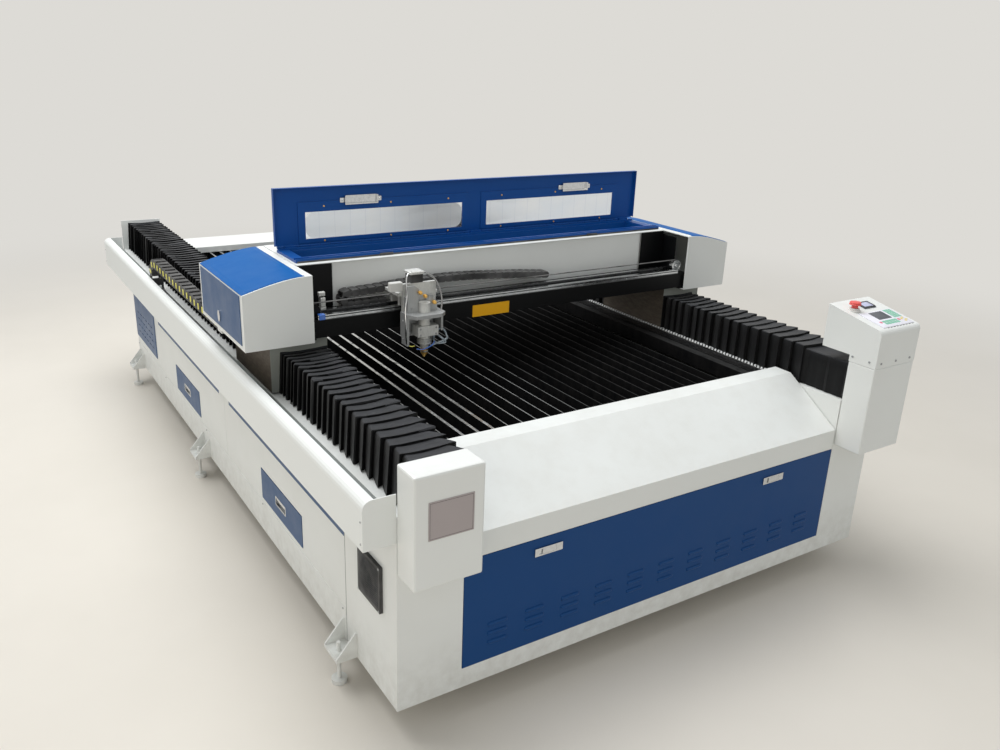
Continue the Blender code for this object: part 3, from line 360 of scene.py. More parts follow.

# %% [markdown]
# ## Plastics, rubber, cloth and films
# Cable chains and guards are moulded nylon: nearly black, with a fine spark-eroded grain. The
# bellows are cloth coated with rubber; the faces of their folds that look up are paler, partly
# with dust on the crests and partly as painted light on the lit tops. The windows are acrylic
# sheet still under its pale protective film, which scatters what shines through it.
# The keypad is a printed polyester film. All moulded pieces share one recipe with a colour,
# a gloss and a share of dust of their own, because the mould gives them all the same skin.

# %% Moulded, coated and printed finishes
def moulded(name, code, roughness, grain_mm=1.5, depth_mm=0.05, dust="#6A675F", dusty=0.25, **sockets):
    """Injection-moulded plastic: spark-eroded grain and a little dust on top faces."""
    made, tree, shader, where = start(name, roughness, IOR=1.5, **sockets)
    settled = patches(tree, where, 30, 0.40, 0.80, 4.0)
    colour = coats(tree, code, ("#FFFFFF", patches(tree, where, 120, 0.3, 0.7), 0.12),
                   (dust, settled, facing(tree, UP, 0.2, 1.0), dusty))
    surface(tree, shader, colour, patches(tree, where, grain_mm, 0.2, 0.8, 2.0), depth_mm)
    return made


def bellows_cloth():
    """Rubber-coated cloth: the product of two sines every 4 mm makes a plain weave of 2 mm
    squares, drawn coarse to show, under a paler grey on faces that look up, partly dust on the
    crests and partly painted light on the lit tops, and a few paler specks."""
    made, tree, shader, where = start("rubber_coated_bellows_cloth", 0.52, IOR=1.48,
                                      Specular_IOR_Level=0.20, Sheen_Weight=0.05, Sheen_Roughness=0.5)
    powder = node(tree, "ShaderNodeMapRange", {
        "Value": patches(tree, where, 50, 0.25, 0.75, 5.0, (1.0, 3.0, 1.0)), "To Min": 0.45, "To Max": 1.0})
    # the paler grey on up-facing faces is partly dust, partly painted light on the lit fold tops
    colour = coats(tree, "#0A0B0D",
                   ("#34363A", facing(tree, UP, 0.10, 0.95), powder.outputs[0]),
                   ("#4A4845", patches(tree, where, 9, 0.72, 0.80, 2.0), 0.30))
    threads = node(tree, "ShaderNodeSeparateXYZ", {0: where}).outputs
    turns = 1571.0  # 2 pi in 4 mm
    waves = [node(tree, "ShaderNodeMath", {0: product(tree, threads[i], turns)}, operation="SINE").outputs[0]
             for i in (0, 1)]
    surface(tree, shader, colour, product(tree, *waves), 0.08)
    return made


def window_film():
    """Pale film over clear sheet: bluish white with faint upright press lines every 60 mm."""
    made, tree, shader, where = start("acrylic_under_protective_film", 0.55, IOR=1.10,
                                      Transmission_Weight=1.0)
    across = node(tree, "ShaderNodeSeparateXYZ", {0: where}).outputs[0]
    turns = 104.7  # 2 pi in 60 mm
    wave = node(tree, "ShaderNodeMath", {0: product(tree, across, turns)}, operation="SINE")
    line = node(tree, "ShaderNodeMapRange", {"Value": wave.outputs[0], "From Min": 0.985, "From Max": 1.0})
    colour = coats(tree, "#FBFDFF", ("#F1F7FE", patches(tree, where, 140, 0.3, 0.7)),
                   ("#B4C0D6", line.outputs[0], 0.35))
    surface(tree, shader, colour, patches(tree, where, 60, 0.3, 0.7, 2.0), 0.3)
    return made


def clear_acrylic():
    """Clear hose wall, a little bluish and cloudy, so that it shows against dark metal."""
    made, tree, shader, where = start("clear_cast_acrylic", 0.10, IOR=1.49, Transmission_Weight=0.65)
    surface(tree, shader, coats(tree, "#C9D5DE", ("#B3C2CC", patches(tree, where, 60, 0.3, 0.7))))
    return made


print("press lines in the film every", round(2000 * math.pi / 104.7), "mm")

# %% The plastics and films by name
NYLON = moulded("black_moulded_nylon", "#0A0B0C", 0.50, dusty=0.14, Specular_IOR_Level=0.25)
NET = moulded("dusty_guard_net", "#2E3033", 0.55, dust="#8A857A", dusty=0.5, Specular_IOR_Level=0.25)
RIBBED = moulded("black_chain_nylon", "#0C0D0F", 0.50, dusty=0.30, dust="#3E3D3A", Specular_IOR_Level=0.25)
RUBBER = moulded("belt_rubber", "#121213", 0.78, 2.0, 0.10)
CLOTH = bellows_cloth()
FILM = window_film()
PANE = moulded("acrylic_sheet", "#FAFCFF", 0.12, 20.0, 0.02, dusty=0.05, Transmission_Weight=1.0)
CLEAR = clear_acrylic()
KEY_GREEN = moulded("printed_keypad_film_green", "#6FB79B", 0.42, 2.0, 0.03, dusty=0.05)
PANEL_WHITE = moulded("printed_panel_film_white", "#E4E4EE", 0.40, 2.0, 0.03, dusty=0.05)
SCREEN = moulded("lcd_window", "#1B2637", 0.30, 40.0, 0.01, dusty=0.04, Specular_IOR_Level=0.20)
PALE_LCD = moulded("meter_lcd", "#B9BEE0", 0.18, 40.0, 0.01, dusty=0.05, Coat_Weight=0.5)
STOP_RED = moulded("red_moulded_mushroom", "#DC2A1E", 0.36, 2.0, 0.02, dusty=0.03, Specular_IOR_Level=0.30)
COLLAR = moulded("pale_grey_abs", "#CFCFCB", 0.42, dusty=0.10)
KEY_RED = moulded("printed_key_red", "#D9607A", 0.42, 2.0, 0.03, dusty=0.05)
KEY_YELLOW = moulded("printed_key_yellow", "#D9C465", 0.42, 2.0, 0.03, dusty=0.05)
YELLOW = moulded("yellow_moulded_insert", "#E3DC4A", 0.45, dusty=0.15)
AIR_BLUE = moulded("blue_polyurethane_tube", "#2C6FD0", 0.24, 6.0, 0.02, dusty=0.05, Coat_Weight=0.4)
print("materials so far:", len(bpy.data.materials))

# %% [markdown]
# ## Finish for every solid
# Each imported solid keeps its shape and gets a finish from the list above. A table of names is
# easier to check than a long run of assignments.

# %% Give the solids their finishes
finishes = {
    WHITE: "bed_frame top_frame front_cabinet front_hood rear_hood corner_box column_lower column_upper "
           "end_cover_left end_cover_right gantry_housing back_panel",
    TROUGH: "trough_left trough_right",
    PRIMER: "gantry_foot_left gantry_foot_right",
    LID_BLUE: "lid seal_frame hinge_rail",
    # the door's darker blue is painted shade; the hatch blue on the next line is a painted sky reflection
    SHADED_DOOR_BLUE: "front_door",
    SKY_REFLECTING_HATCH_BLUE: "vent_plate drawer_1 drawer_2 cover_door",
    PLATE_GREY: "blank_plate",
    BLACK: "beam",
    RAIL: "x_rail_front x_rail_rear",
    Y_RAIL: "y_rail_left y_rail_right",
    SLATS: "slat_table",
    ALUMINIUM: "carriage cutting_head",
    GREY_PLATE: "head_plate",
    NICKEL: "x_pulley door_latch_left door_latch_right door_paddle_left door_paddle_right "
            "lid_latch_left lid_latch_right cover_lock",
    BRASS: "nozzle",
    RUBBER: "x_belt",
    CLOTH: "bellows_left_front bellows_left_rear bellows_right_front bellows_right_rear",
    NYLON: "fan_guard fan_rotor lift_motor",
    RIBBED: "x_chain y_chain",
    PANE: "window_left window_right",
    PANEL_WHITE: "keypad",
    SCREEN: "meter",
    STOP_RED: "stop_button",
    COLLAR: "stop_collar",
}
finished = []
for finish, names in finishes.items():
    for name in names.split():
        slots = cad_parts[name].data.materials
        slots.clear()
        slots.append(finish)
        finished.append(name)
print("finished", len(finished), "solids; left over:", sorted(set(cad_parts) - set(finished)))

# %% [markdown]
# ## Surfaces from numbers
# Most small pieces are a stack of outlines joined level by level, like slices of a loaf: a
# screw head, a plate with softened edges, a cup pull. A cube with a Bevel modifier would do for
# some of them, but the stack also makes dishes, slots and lathe work in the same few lines. The
# outlines are computed as one array, the faces as another, and Blender receives the result.

# %% Skins over stacks of outlines
def quads(rows, columns):
    """Faces of a grid that closes round its columns: (i, j), (i, j+1), (i+1, j+1), (i+1, j)."""
    i, j = np.meshgrid(np.arange(rows - 1), np.arange(columns), indexing="ij")
    k = (j + 1) % columns
    here, above = i * columns, (i + 1) * columns
    return np.stack([here + j, here + k, above + k, above + j], -1).reshape(-1, 4)


def loft(rings, look=0):
    """A closed skin over a stack of outlines (levels x points x 3), its ends shut by fans."""
    rings = np.asarray(rings, float)
    rows, columns = rings.shape[:2]
    points = np.vstack([rings.reshape(-1, 3), rings[0].mean(0), rings[-1].mean(0)])
    j = np.arange(columns)
    k = (j + 1) % columns
    low = np.stack([np.full(columns, rows * columns), k, j], -1)
    top = np.stack([np.full(columns, rows * columns + 1), (rows - 1) * columns + j,
                    (rows - 1) * columns + k], -1)
    faces = [*quads(rows, columns).tolist(), *low.tolist(), *top.tolist()]
    return outward(points, faces), look


def outward(points, faces):
    """Turn the faces round when the signed volume, the sum of a . (b x c) / 6, is negative."""
    volume = 0.0
    for size in (3, 4):
        block = np.array([f for f in faces if len(f) == size])
        if len(block):
            a = points[block[:, 0]]
            for n in range(1, size - 1):
                volume += np.einsum("ij,ij->", a, np.cross(points[block[:, n]], points[block[:, n + 1]]))
    return points, [f[::-1] for f in faces] if volume < 0 else faces


def sleeve(rings, look=0):
    """A swept band whose sections run out and back, so each end is shut by a strip of quads."""
    rows, columns = rings.shape[:2]
    i = np.arange(columns // 2 - 1)
    end = np.stack([i, columns - 1 - i, columns - 2 - i, i + 1], -1)
    faces = quads(rows, columns).tolist() + end.tolist() + (end[:, ::-1] + (rows - 1) * columns).tolist()
    return outward(rings.reshape(-1, 3), faces), look


print("a grid of 3 rows and 8 columns has", len(quads(3, 8)), "faces")

# %% Plates and turned pieces
def outline(half_u, half_v, radius, inset=0.0, steps=5):
    """A rounded rectangle: quarter circles of the radius less the inset, about four centres."""
    hu, hv = half_u - inset, half_v - inset
    r = max(min(radius - inset, hu, hv), 0.0002)
    turn = np.linspace(0, math.pi / 2, steps)
    angles = np.concatenate([turn + q * math.pi / 2 for q in range(4)])
    cu = np.repeat([hu - r, r - hu, r - hu, hu - r], steps)
    cv = np.repeat([hv - r, hv - r, r - hv, r - hv], steps)
    return np.stack([cu + r * np.cos(angles), cv + r * np.sin(angles)], -1)


def plate(centre, u, v, size, radius, levels, look=0, steps=5):
    """A plate in the plane of u and v: at each level (inset, height) its outline stands that
    height along u x v. Heights that come back down make a dish or a slot."""
    u, v = np.array(u, float), np.array(v, float)
    n = np.cross(u, v)
    rings = []
    for inset, height in levels:
        flat = outline(size[0] / 2, size[1] / 2, radius, inset, steps)
        rings.append(np.array(centre) + flat[:, :1] * u + flat[:, 1:] * v + height * n)
    return loft(rings, look)


def turned(centre, u, v, profile, sides=24, look=0):
    """A lathe piece about u x v: profile points are (radius, height)."""
    angle = np.linspace(0, 2 * math.pi, sides, endpoint=False)
    u, v = np.array(u, float), np.array(v, float)
    circle = np.cos(angle)[:, None] * u + np.sin(angle)[:, None] * v
    profile = np.array(profile, float)
    rings = np.array(centre) + profile[:, 0, None, None] * circle + profile[:, 1, None, None] * np.cross(u, v)
    return loft(rings, look)


print("outline of a plate has", len(outline(1, 1, 0.1)), "points")

# %% Hoses
def smooth_path(points, count):
    """A Catmull-Rom curve: between points b and c it is the cubic with slopes (c - a) / 2 and
    (d - b) / 2, sampled evenly in its parameter."""
    p = np.array(points, float)
    p = np.vstack([2 * p[0] - p[1], p, 2 * p[-1] - p[-2]])
    s = np.linspace(0, len(points) - 1 - 1e-9, count)
    i = s.astype(int)
    t = (s - i)[:, None]
    a, b, c, d = p[i], p[i + 1], p[i + 2], p[i + 3]
    return b + 0.5 * t * ((c - a) + t * (2 * a - 5 * b + 4 * c - d + t * (3 * (b - c) + d - a)))


def tube(points, radius, count=32, sides=10, look=0):
    """A hose: circles square to the path, set up from the Y axis, which no hose here follows."""
    path = smooth_path(points, count)
    tangent = np.gradient(path, axis=0)
    tangent /= np.linalg.norm(tangent, axis=1)[:, None]
    side = np.cross(tangent, (0.0, 1.0, 0.0))
    side /= np.linalg.norm(side, axis=1)[:, None]
    other = np.cross(tangent, side)
    angle = np.linspace(0, 2 * math.pi, sides, endpoint=False)[None, :, None]
    rings = path[:, None] + radius * (np.cos(angle) * side[:, None] + np.sin(angle) * other[:, None])
    return loft(rings, look)


print("a smooth path through 3 points:", smooth_path([(0, 0, 0), (1, 0, 0), (1, 1, 0)], 5).round(2).tolist())

# %% One object from many parts
def piece(name, parts, looks, body, sharp=35):
    """Join parts, each (points, faces) and the number of its finish, into one object. It rides
    on the body, where one is given."""
    points, faces, numbers, first = [], [], [], 0
    for (own_points, own_faces), look in parts:
        points.append(own_points)
        faces += [[first + k for k in face] for face in own_faces]
        numbers += [look] * len(own_faces)
        first += len(own_points)
    mesh = bpy.data.meshes.new(name)
    mesh.from_pydata(np.vstack(points).tolist(), [], faces)
    for finish in looks:
        mesh.materials.append(finish)
    mesh.polygons.foreach_set("material_index", numbers)
    mesh.shade_smooth()
    mesh.set_sharp_from_angle(angle=math.radians(sharp))
    mesh.update()
    obj = bpy.data.objects.new(name, mesh)
    bpy.context.scene.collection.objects.link(obj)
    if body:
        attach(obj, body)
    print(name, len(mesh.polygons), "faces")
    return obj


def box_of(name):
    """The lowest and highest corner of a solid, as two arrays."""
    return [np.array(corner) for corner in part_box(name)]


X, Y, Z = np.eye(3)
LEFT = (-Y, Z)  # u and v of a plate on a left face: u x v is -X
RIGHT = (Y, Z)
FORE = (X, Z)  # u x v is -Y, towards the front
TOP = (X, Y)
CORNERS = [(a, b) for a in (-1, 1) for b in (-1, 1)]
print("the slat table lies", round(float(box_of("slat_table")[1][2]), 3), "m above the floor")

# %% [markdown]
# ## Bellows over the rails
# The side rails are kept clean by bellows: coated cloth folded over stiff frames every 45 mm,
# like a row of roof tiles. Each frame's front lip stands proud and the cloth falls back from it
# to tuck in under the next lip, in pleats about 10 mm deep on top and 22 mm down the sides. The
# last 0.19 m at the control column has no frames and shows only shallow, soft pleats. A cloth
# simulation would lose the sharp folds, so each ring of the fold is placed by formula, and
# small seeded shifts stand for the creases of cloth that has been pushed up many times.

# %% The shape of one fold
FOLD = np.array([  # share of the fold, shift along Y, dip of the top, dip of the sides
    (0.00, -0.0045, 0.0000, 0.0000),
    (0.00, 0.0040, 0.0006, 0.0024),
    (0.45, 0.0000, 0.0026, 0.0090),
    (0.75, 0.0000, 0.0052, 0.0160),
    (1.00, 0.0020, 0.0095, 0.0220),
    (1.00, -0.0036, 0.0026, 0.0040),
])
FRAME_STEP = 0.045


def fold_edges(start_y, end_y, tight, gantry_high):
    """Where the folds begin: their widths fall evenly from 1 + tight to 1 - tight of the mean
    towards the gantry, which pushes them up."""
    folds = round((end_y - start_y) / FRAME_STEP)
    widths = np.linspace(1 + tight, 1 - tight, folds)
    if not gantry_high:
        widths = widths[::-1]
    return start_y + np.concatenate([[0.0], np.cumsum(widths)]) * (end_y - start_y) / widths.sum()


def cloth_section(half, top, foot, corner, skin):
    """Half widths and heights of an upside-down U through 15 points, skin inside the outer face."""
    w, t = half - skin, top - skin
    rise = t - foot
    xs = np.hstack([-w, -w, -w, -w, -w + 0.3 * corner, -w + corner, -0.5 * w, 0 * w])
    zs = np.hstack([foot + 0 * w, foot + 0.35 * rise, foot + 0.7 * rise, t - corner,
                    t - 0.3 * corner, t, t - 0.0030, t - 0.0042])
    return np.hstack([xs, -xs[:, -2::-1]]), np.hstack([zs, zs[:, -2::-1]])


print("one fold has", len(FOLD), "rings")

# %% Rings of one bellows
def bellows_rings(low, high, gantry_high, tight, seed, flat):
    """Rings along Y: ring (k, p) stands at fold edge k + share p, with half width W - side dip
    and top T - top dip. Each ring is an upside-down U, out along 15 points and back inside.
    The half towards the trough is drawn in by a quarter at the foot and a third at the top."""
    rng = np.random.default_rng(seed)
    edges = fold_edges(low[1] + flat, high[1], tight, gantry_high)
    pitch = np.diff(edges)
    folds = len(pitch)
    pitch[-1] -= 0.003
    along_y = edges[:-1, None] + pitch[:, None] * FOLD[:, 0] + FOLD[:, 1]
    # a fold pressed narrower than 40 mm is crushed: it sags, turns and ripples more
    crush = np.clip(1.0 - pitch / 0.040, 0.0, 0.5)[:, None]
    dips = 1 + rng.uniform(-0.14, 0.10, (folds, 1))
    drop = rng.uniform(0.0, 0.0016, (folds, 1)) + crush * rng.uniform(0.0, 0.012, (folds, 1))
    skew = rng.normal(0, 0.0036, folds) + crush[:, 0] * rng.normal(0, 0.014, folds)
    wave = rng.uniform(0.0004, 0.0034, folds) + crush[:, 0] * rng.uniform(0, 0.012, folds)
    skew, wave, phase = (np.repeat(v, len(FOLD)) for v in (skew, wave, rng.uniform(0, 6.3, folds)))

    # the flat stretch is 13 rings with soft pleats, or one ring where there is none
    start_y = np.linspace(low[1], low[1] + flat - 0.004, 13) if flat else low[1:2]
    soft = np.abs(np.sin(np.arange(len(start_y)) * 1.3)) * (flat > 0)

    def with_ends(values, near):
        """The rings of the flat stretch, those of the folds, and one that shuts the far end."""
        return np.concatenate([near * np.ones(len(start_y)), values.ravel(), [0.0]])[:, None]

    ys = np.concatenate([start_y, along_y.ravel(), [high[1]]])[:, None]
    top = high[2] - with_ends(FOLD[:, 2] * dips + drop, 0.012 * (flat > 0) + 0.0016 * soft)
    full = (high[0] - low[0]) / 2
    half = full - with_ends(FOLD[:, 3] * dips, 0.008 * (flat > 0) + 0.0060 * soft)
    skew, wave, phase = (with_ends(skew, 0.0006 * soft), with_ends(wave, 0.0022 * soft),
                         with_ends(phase, 1.0))
    corner = 0.003 + 0.35 * (full - half)
    outside, inside = (cloth_section(half, top, low[2], corner, skin) for skin in (0.0, 0.0018))
    xs = np.hstack([outside[0], inside[0][:, ::-1]])
    zs = np.hstack([outside[1], inside[1][:, ::-1]])
    middle = (low[0] + high[0]) / 2
    # the half towards the trough is drawn in, and every ring leans and ripples along Y
    trough_side = np.clip(xs * np.sign(middle), 0, None) * np.sign(middle)
    xs = xs - trough_side * (0.24 + 0.10 * (zs - low[2]) / (high[2] - low[2]))
    lean = skew * xs / half + wave * np.sin(38 * xs + phase)
    ys = np.clip(ys + lean, low[1], high[1])
    return np.stack([middle + xs, np.broadcast_to(ys, xs.shape), zs], -1)


rings = bellows_rings(*box_of("bellows_left_rear"), False, 0.04, 13, 0.0)
print("rings and points of a rear bellows:", rings.shape[:2])

# %% Fold the four bellows
def bellows(name, gantry_high, tight, seed, flat=0.0):
    """Fold one bellows in the box of its solid, and hide the solid."""
    low, high = box_of(name)
    rings = bellows_rings(low, high, gantry_high, tight, seed, flat)
    obj = piece(name + "_folds", [sleeve(rings)], [CLOTH], None, 28)
    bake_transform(obj)
    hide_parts(name)


bellows("bellows_left_front", True, 0.30, 11)
bellows("bellows_right_front", True, 0.24, 12, 0.19)
bellows("bellows_left_rear", False, 0.04, 13)
bellows("bellows_right_rear", False, 0.04, 14)

# %% [markdown]
# ## Cable chains
# A cable chain is a string of moulded links, each two side plates tied by cross bars, that
# rolls from one run to the other as its end travels. It could be one ribbed band, but the gaps
# between links are what the eye looks for. One link is modelled, and the others are the same
# array moved along the chain's path, each kept square to it as a real link is.

# %% One link
def link(pitch, width, height, insert):
    """Link axes: X along the chain, Y across it, Z outwards from the bend. Two side plates with
    round ends, a cross bar above and below, and a yellow clip on the side that insert names."""
    parts = []
    flank = [(0.001, -0.0018), (0, -0.001), (0, 0.001), (0.001, 0.0018)]
    for side in (-1, 1):
        middle = (0, side * (width / 2 - 0.002), 0)
        parts.append(plate(middle, X, Z, (pitch * 1.16, height), height * 0.42, flank, 0, 4))
    # the big chain's bars leave gaps for its clips, the small one's are nearly closed
    bar = (pitch * (0.56 if insert else 0.90), width * 0.97)
    thick = [(0.001, -0.002), (0, -0.001), (0, 0.001), (0.001, 0.002)]
    for face in (-1, 1):
        middle = (0, 0, face * (height / 2 - 0.0022))
        parts.append(plate(middle, X, Y, bar, min(bar) * 0.25, thick, 0, 3))
    if insert:
        middle = (0, insert * (width / 2 + 0.0004), 0)
        parts.append(plate(middle, X, insert * -Z, (pitch * 0.24, height * 0.56), 0.002,
                           [(0, -0.001), (0, 0.0004), (0.0006, 0.0010)], 1, 3))
    return parts


print("a link has", sum(len(faces) for (_, faces), _ in link(0.056, 0.050, 0.042, 1)), "faces")

# %% String the links
def chain(name, across, points, pitch, width, height, insert, looks):
    """Links at even steps along a path that starts on the moving body."""
    path = smooth_path(points, 1200)
    length = np.append(0.0, np.cumsum(np.linalg.norm(np.diff(path, axis=0), axis=1)))
    count = int((length[-1] - pitch * 1.1) / pitch)
    stops = pitch * 0.6 + np.arange(count + 1) * (length[-1] - pitch * 1.2) / count

    def place(s):
        """Places on the path at lengths s."""
        return np.stack([np.interp(s, length, path[:, i]) for i in range(3)], -1)

    tangent = place(stops + 0.3 * pitch) - place(stops - 0.3 * pitch)
    tangent /= np.linalg.norm(tangent, axis=1)[:, None]
    outer = np.cross(tangent, across)
    parts, lengths = [], []
    for (own, faces), look in link(pitch, width, height, insert):
        placed = (place(stops)[:, None] + own[None, :, :1] * tangent[:, None]
                  + own[None, :, 1:2] * across + own[None, :, 2:] * outer[:, None])
        square = np.array([f + [f[-1]] * (4 - len(f)) for f in faces])
        every = (square[None] + np.arange(len(stops))[:, None, None] * len(own)).reshape(-1, 4)
        parts.append(((placed.reshape(-1, 3), [list(dict.fromkeys(f)) for f in every.tolist()]), look))
        lengths.append((stops[:, None] + own[None, :, 0]).ravel())
    obj = piece(name + "_links", parts, looks, None)
    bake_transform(obj)
    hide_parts(name)


print("the beam's chain spans", np.ptp(box_of("x_chain"), axis=0).round(3).tolist(), "m")

# %% The bed's chain rolls over itself in the left trough
low, high = box_of("y_chain")
mid_x = (low[0] + high[0]) / 2
mid_z = (low[2] + high[2]) / 2
height = 0.042
radius = (high[2] - low[2] - height) / 2
centre_y = high[1] - radius - height / 2
end_y = FRONT + 1.640
upper = [(mid_x, y, high[2] - height / 2) for y in np.linspace(low[1], centre_y, 9)[:-1]]
round_bend = [(mid_x, centre_y + radius * math.cos(a), mid_z + radius * math.sin(a))
              for a in np.linspace(math.pi / 2, -math.pi / 2, 9)]
lower = [(mid_x, y, low[2] + height / 2) for y in np.linspace(centre_y, end_y, 8)[1:]]
chain("y_chain", -X, upper + round_bend + lower,
      0.056, 0.050, height, 1, [RIBBED, YELLOW])

# %% The beam's chain arches back over itself behind the carriage
low, high = box_of("x_chain")
height = 0.024
radius = 0.020
start_x = float(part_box("carriage")[0][0]) + 0.015
bend_x = low[0] + 0.032
mid_y = (low[1] + high[1]) / 2
bottom = low[2] + height / 2 + 0.0005
lower = [(x, mid_y, bottom) for x in np.linspace(start_x, bend_x, 4)]
round_bend = [(bend_x - radius * math.sin(a), mid_y, bottom + radius - radius * math.cos(a))
              for a in np.linspace(0, 0.94 * math.pi, 8)[1:]]
ARCH = [(-0.56, 1.001), (-0.45, 1.008), (-0.35, 1.012), (-0.20, 1.011), (-0.05, 1.002), (0.08, 0.992),
        (0.19, 0.981)]
chain("x_chain", Y, lower + round_bend + [(x, mid_y, z) for x, z in ARCH],
      0.030, 0.046, height, 0, [RIBBED])

# %% [markdown]
# ## Skins, strips and screws of the bed
# The long sides are sheet skins: a skirt screwed on below, a thin blue line, and a cover
# strip over the joint in the middle. Cut into the solid they would need a seam each; laid on
# as plates about a millimetre proud, with softened edges, they catch the light as sheet does.

# %% Dress the sides of the bed
SIDE = float(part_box("front_cabinet")[1][0])  # the cabinet is centred on X, so this is half its width
PAN_HEAD = [(0.0, 0.0), (0.0, 0.0012), (0.0012, 0.0024), (0.0022, 0.0024), (0.0026, 0.0012),
            (0.0036, 0.0012)]  # inset and height, down into the recess


def at(x, y, z):
    """A place measured from the front cabinet's lower left corner."""
    return np.array([x - SIDE, y + FRONT, z])


def sheet(centre, plane, size, rise, look=0, radius=0.003, edge=0.0006):
    """A thin plate on a face, its edge rounded over."""
    return plate(centre, *plane, size, radius, [(0, -0.0003), (0, rise - edge), (edge, rise)], look, 3)


def screws(places, plane, look=0, grow=1.0):
    """Pan head screws with a recess, all alike."""
    levels = [(inset * grow, height * grow) for inset, height in PAN_HEAD]
    return [plate(p, *plane, (0.0084 * grow, 0.0084 * grow), 0.0042 * grow, levels, look, 4) for p in places]


for name, x, plane in (("left", 0.0, LEFT), ("right", 2 * SIDE, RIGHT)):
    parts = [
        sheet(at(x, 1.777, 0.163), plane, (2.866, 0.122), 0.0014),  # skirt
        sheet(at(x, 1.561, 0.428), plane, (0.052, 0.386), 0.0009),  # strip over the middle joint
        sheet(at(x, 0.339, 0.362), plane, (0.0016, 0.516), 0.0004, 2, 0.0004, 0.0001),  # dark seam
        sheet(at(x, 0.905, 0.4850), plane, (1.126, 0.0300), 0.0006, 1, 0.001, 0.0002),  # blue lines
        sheet(at(x, 2.125, 0.4850), plane, (1.044, 0.0300), 0.0006, 1, 0.001, 0.0002),
    ]
    proud = -0.0014 if name == "left" else 0.0014
    parts += screws([at(x + proud, y, 0.214) for y in (0.362, 1.10, 1.85, 2.58, 3.19)], plane, 3, 0.8)
    # the blue lines take the hatch blue, a painted sky reflection
    piece(f"side_trim_{name}", parts, [WHITE, SKY_REFLECTING_HATCH_BLUE, NYLON, ZINC], "bed")

# %% Screw the trough's end caps and the column's seam
low, high = box_of("trough_left")
heights = (low[2] + 0.018, high[2] - 0.060)
parts = screws([(low[0], y, z) for y in (low[1] + 0.012, high[1] - 0.012) for z in heights], LEFT, 0, 0.7)
low, high = box_of("column_upper")
seam = low[2] + 0.017
parts += screws([(low[0] + share * (high[0] - low[0]), low[1], seam) for share in (0.13, 0.50, 0.86)], FORE)
parts += screws([(low[0], low[1] + shift, seam + 0.002) for shift in (0.026, 0.092)], LEFT)
piece("casing_screws", parts, [ZINC], "bed")

# %% [markdown]
# ## Toothed racks
# Along each side beam, between the table and the bellows, runs the rack that the gantry's
# drive climbs. Its slanted teeth are ground steel, coloured near white as a painted reflection
# of the pale sky, and stand on a black oiled bar, beside a strip of black sheet that covers the
# beam. True involute teeth would be lost at this size, so each tooth is one small skewed block,
# and there are hundreds of them.

# %% Cut the racks
rack_low, rack_high = box_of("slat_table")
beam_top = float(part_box("y_rail_left")[0][2])
TOOTH_STEP = 0.016
tooth = np.array([(a, b, c) for c in (0.0, 1.0) for a, b in ((-1, -1), (1, -1), (1, 1), (-1, 1))])
block = np.array([(3, 2, 1, 0), (4, 5, 6, 7), (0, 1, 5, 4), (1, 2, 6, 5), (2, 3, 7, 6), (3, 0, 4, 7)])
stops = np.arange(rack_low[1] + 0.02, rack_high[1] - 0.02, TOOTH_STEP)
centre_y, length = (rack_low[1] + rack_high[1]) / 2, rack_high[1] - rack_low[1]
for name, side in (("left", -1), ("right", 1)):
    middle = side * (rack_high[0] + 0.045)
    corners = tooth * (0.0066, 0.0046, 0.0045)  # then skewed along Y, and narrower at the top
    corners[:, 1] += side * 0.45 * tooth[:, 0] * 0.0105
    corners[:, :2] *= 1 - 0.25 * tooth[:, 2:]
    points = corners[None] + np.stack([0 * stops + middle, stops, 0 * stops + beam_top + 0.005], -1)[:, None]
    faces = (block[None] + 8 * np.arange(len(stops))[:, None, None]).reshape(-1, 4).tolist()
    teeth = (outward(points.reshape(-1, 3), faces), 0)
    bar = plate((middle, centre_y, beam_top), *TOP, (0.018, length), 0.001,
                [(0, -0.0004), (0, 0.0046), (0.0006, 0.0052)], 1, 2)
    cover = plate((side * (rack_high[0] + 0.0140), centre_y, beam_top), *TOP, (0.044, length), 0.002,
                  [(0, -0.0004), (0, 0.0010), (0.0004, 0.0014)], 2, 3)
    piece(f"rack_{name}", [teeth, bar, cover], [RACK_PAINTED_REFLECTION, NYLON, BLACK], "bed")

# %% [markdown]
# ## Drawer pulls, louvre hoods, fan net and the blank plate
# The slag drawers have pressed steel cup pulls let into the front. The door's louvres are
# pressed outwards over their slots, so that dust runs off. In the fan guard's opening lies a
# square net of fine wire. The plate on the corner box stays blank, with only its border line.
# Press work has soft edges all round, so each piece is an outline that rises and falls again.

# %% Cup pulls and louvre hoods
# a cup pull is a pressed rim whose middle goes 10 mm down; the grip bridges its upper half
CUP = [(0.0052, -0.0104), (0.0052, 0.0), (0.0, 0.0002), (0.0, 0.0010), (0.0010, 0.0016), (0.0040, 0.0016),
       (0.0050, 0.0008), (0.0060, -0.0088), (0.0100, -0.0100)]
GRIP = [(0.001, -0.013), (0, -0.006), (0, 0.0042), (0.001, 0.0048)]
for number in (1, 2):
    low, high = box_of(f"drawer_{number}")
    middle_y, middle_z = (low[1] + high[1]) / 2, (low[2] + high[2]) / 2
    cup = plate((low[0], middle_y, middle_z), *LEFT, (0.104, 0.036), 0.006, CUP)
    grip = plate((low[0] + 0.004, middle_y, middle_z + 0.009), *LEFT, (0.080, 0.010), 0.004, GRIP)
    piece(f"drawer_pull_{number}", [cup, grip], [NICKEL], f"drawer_{number}")

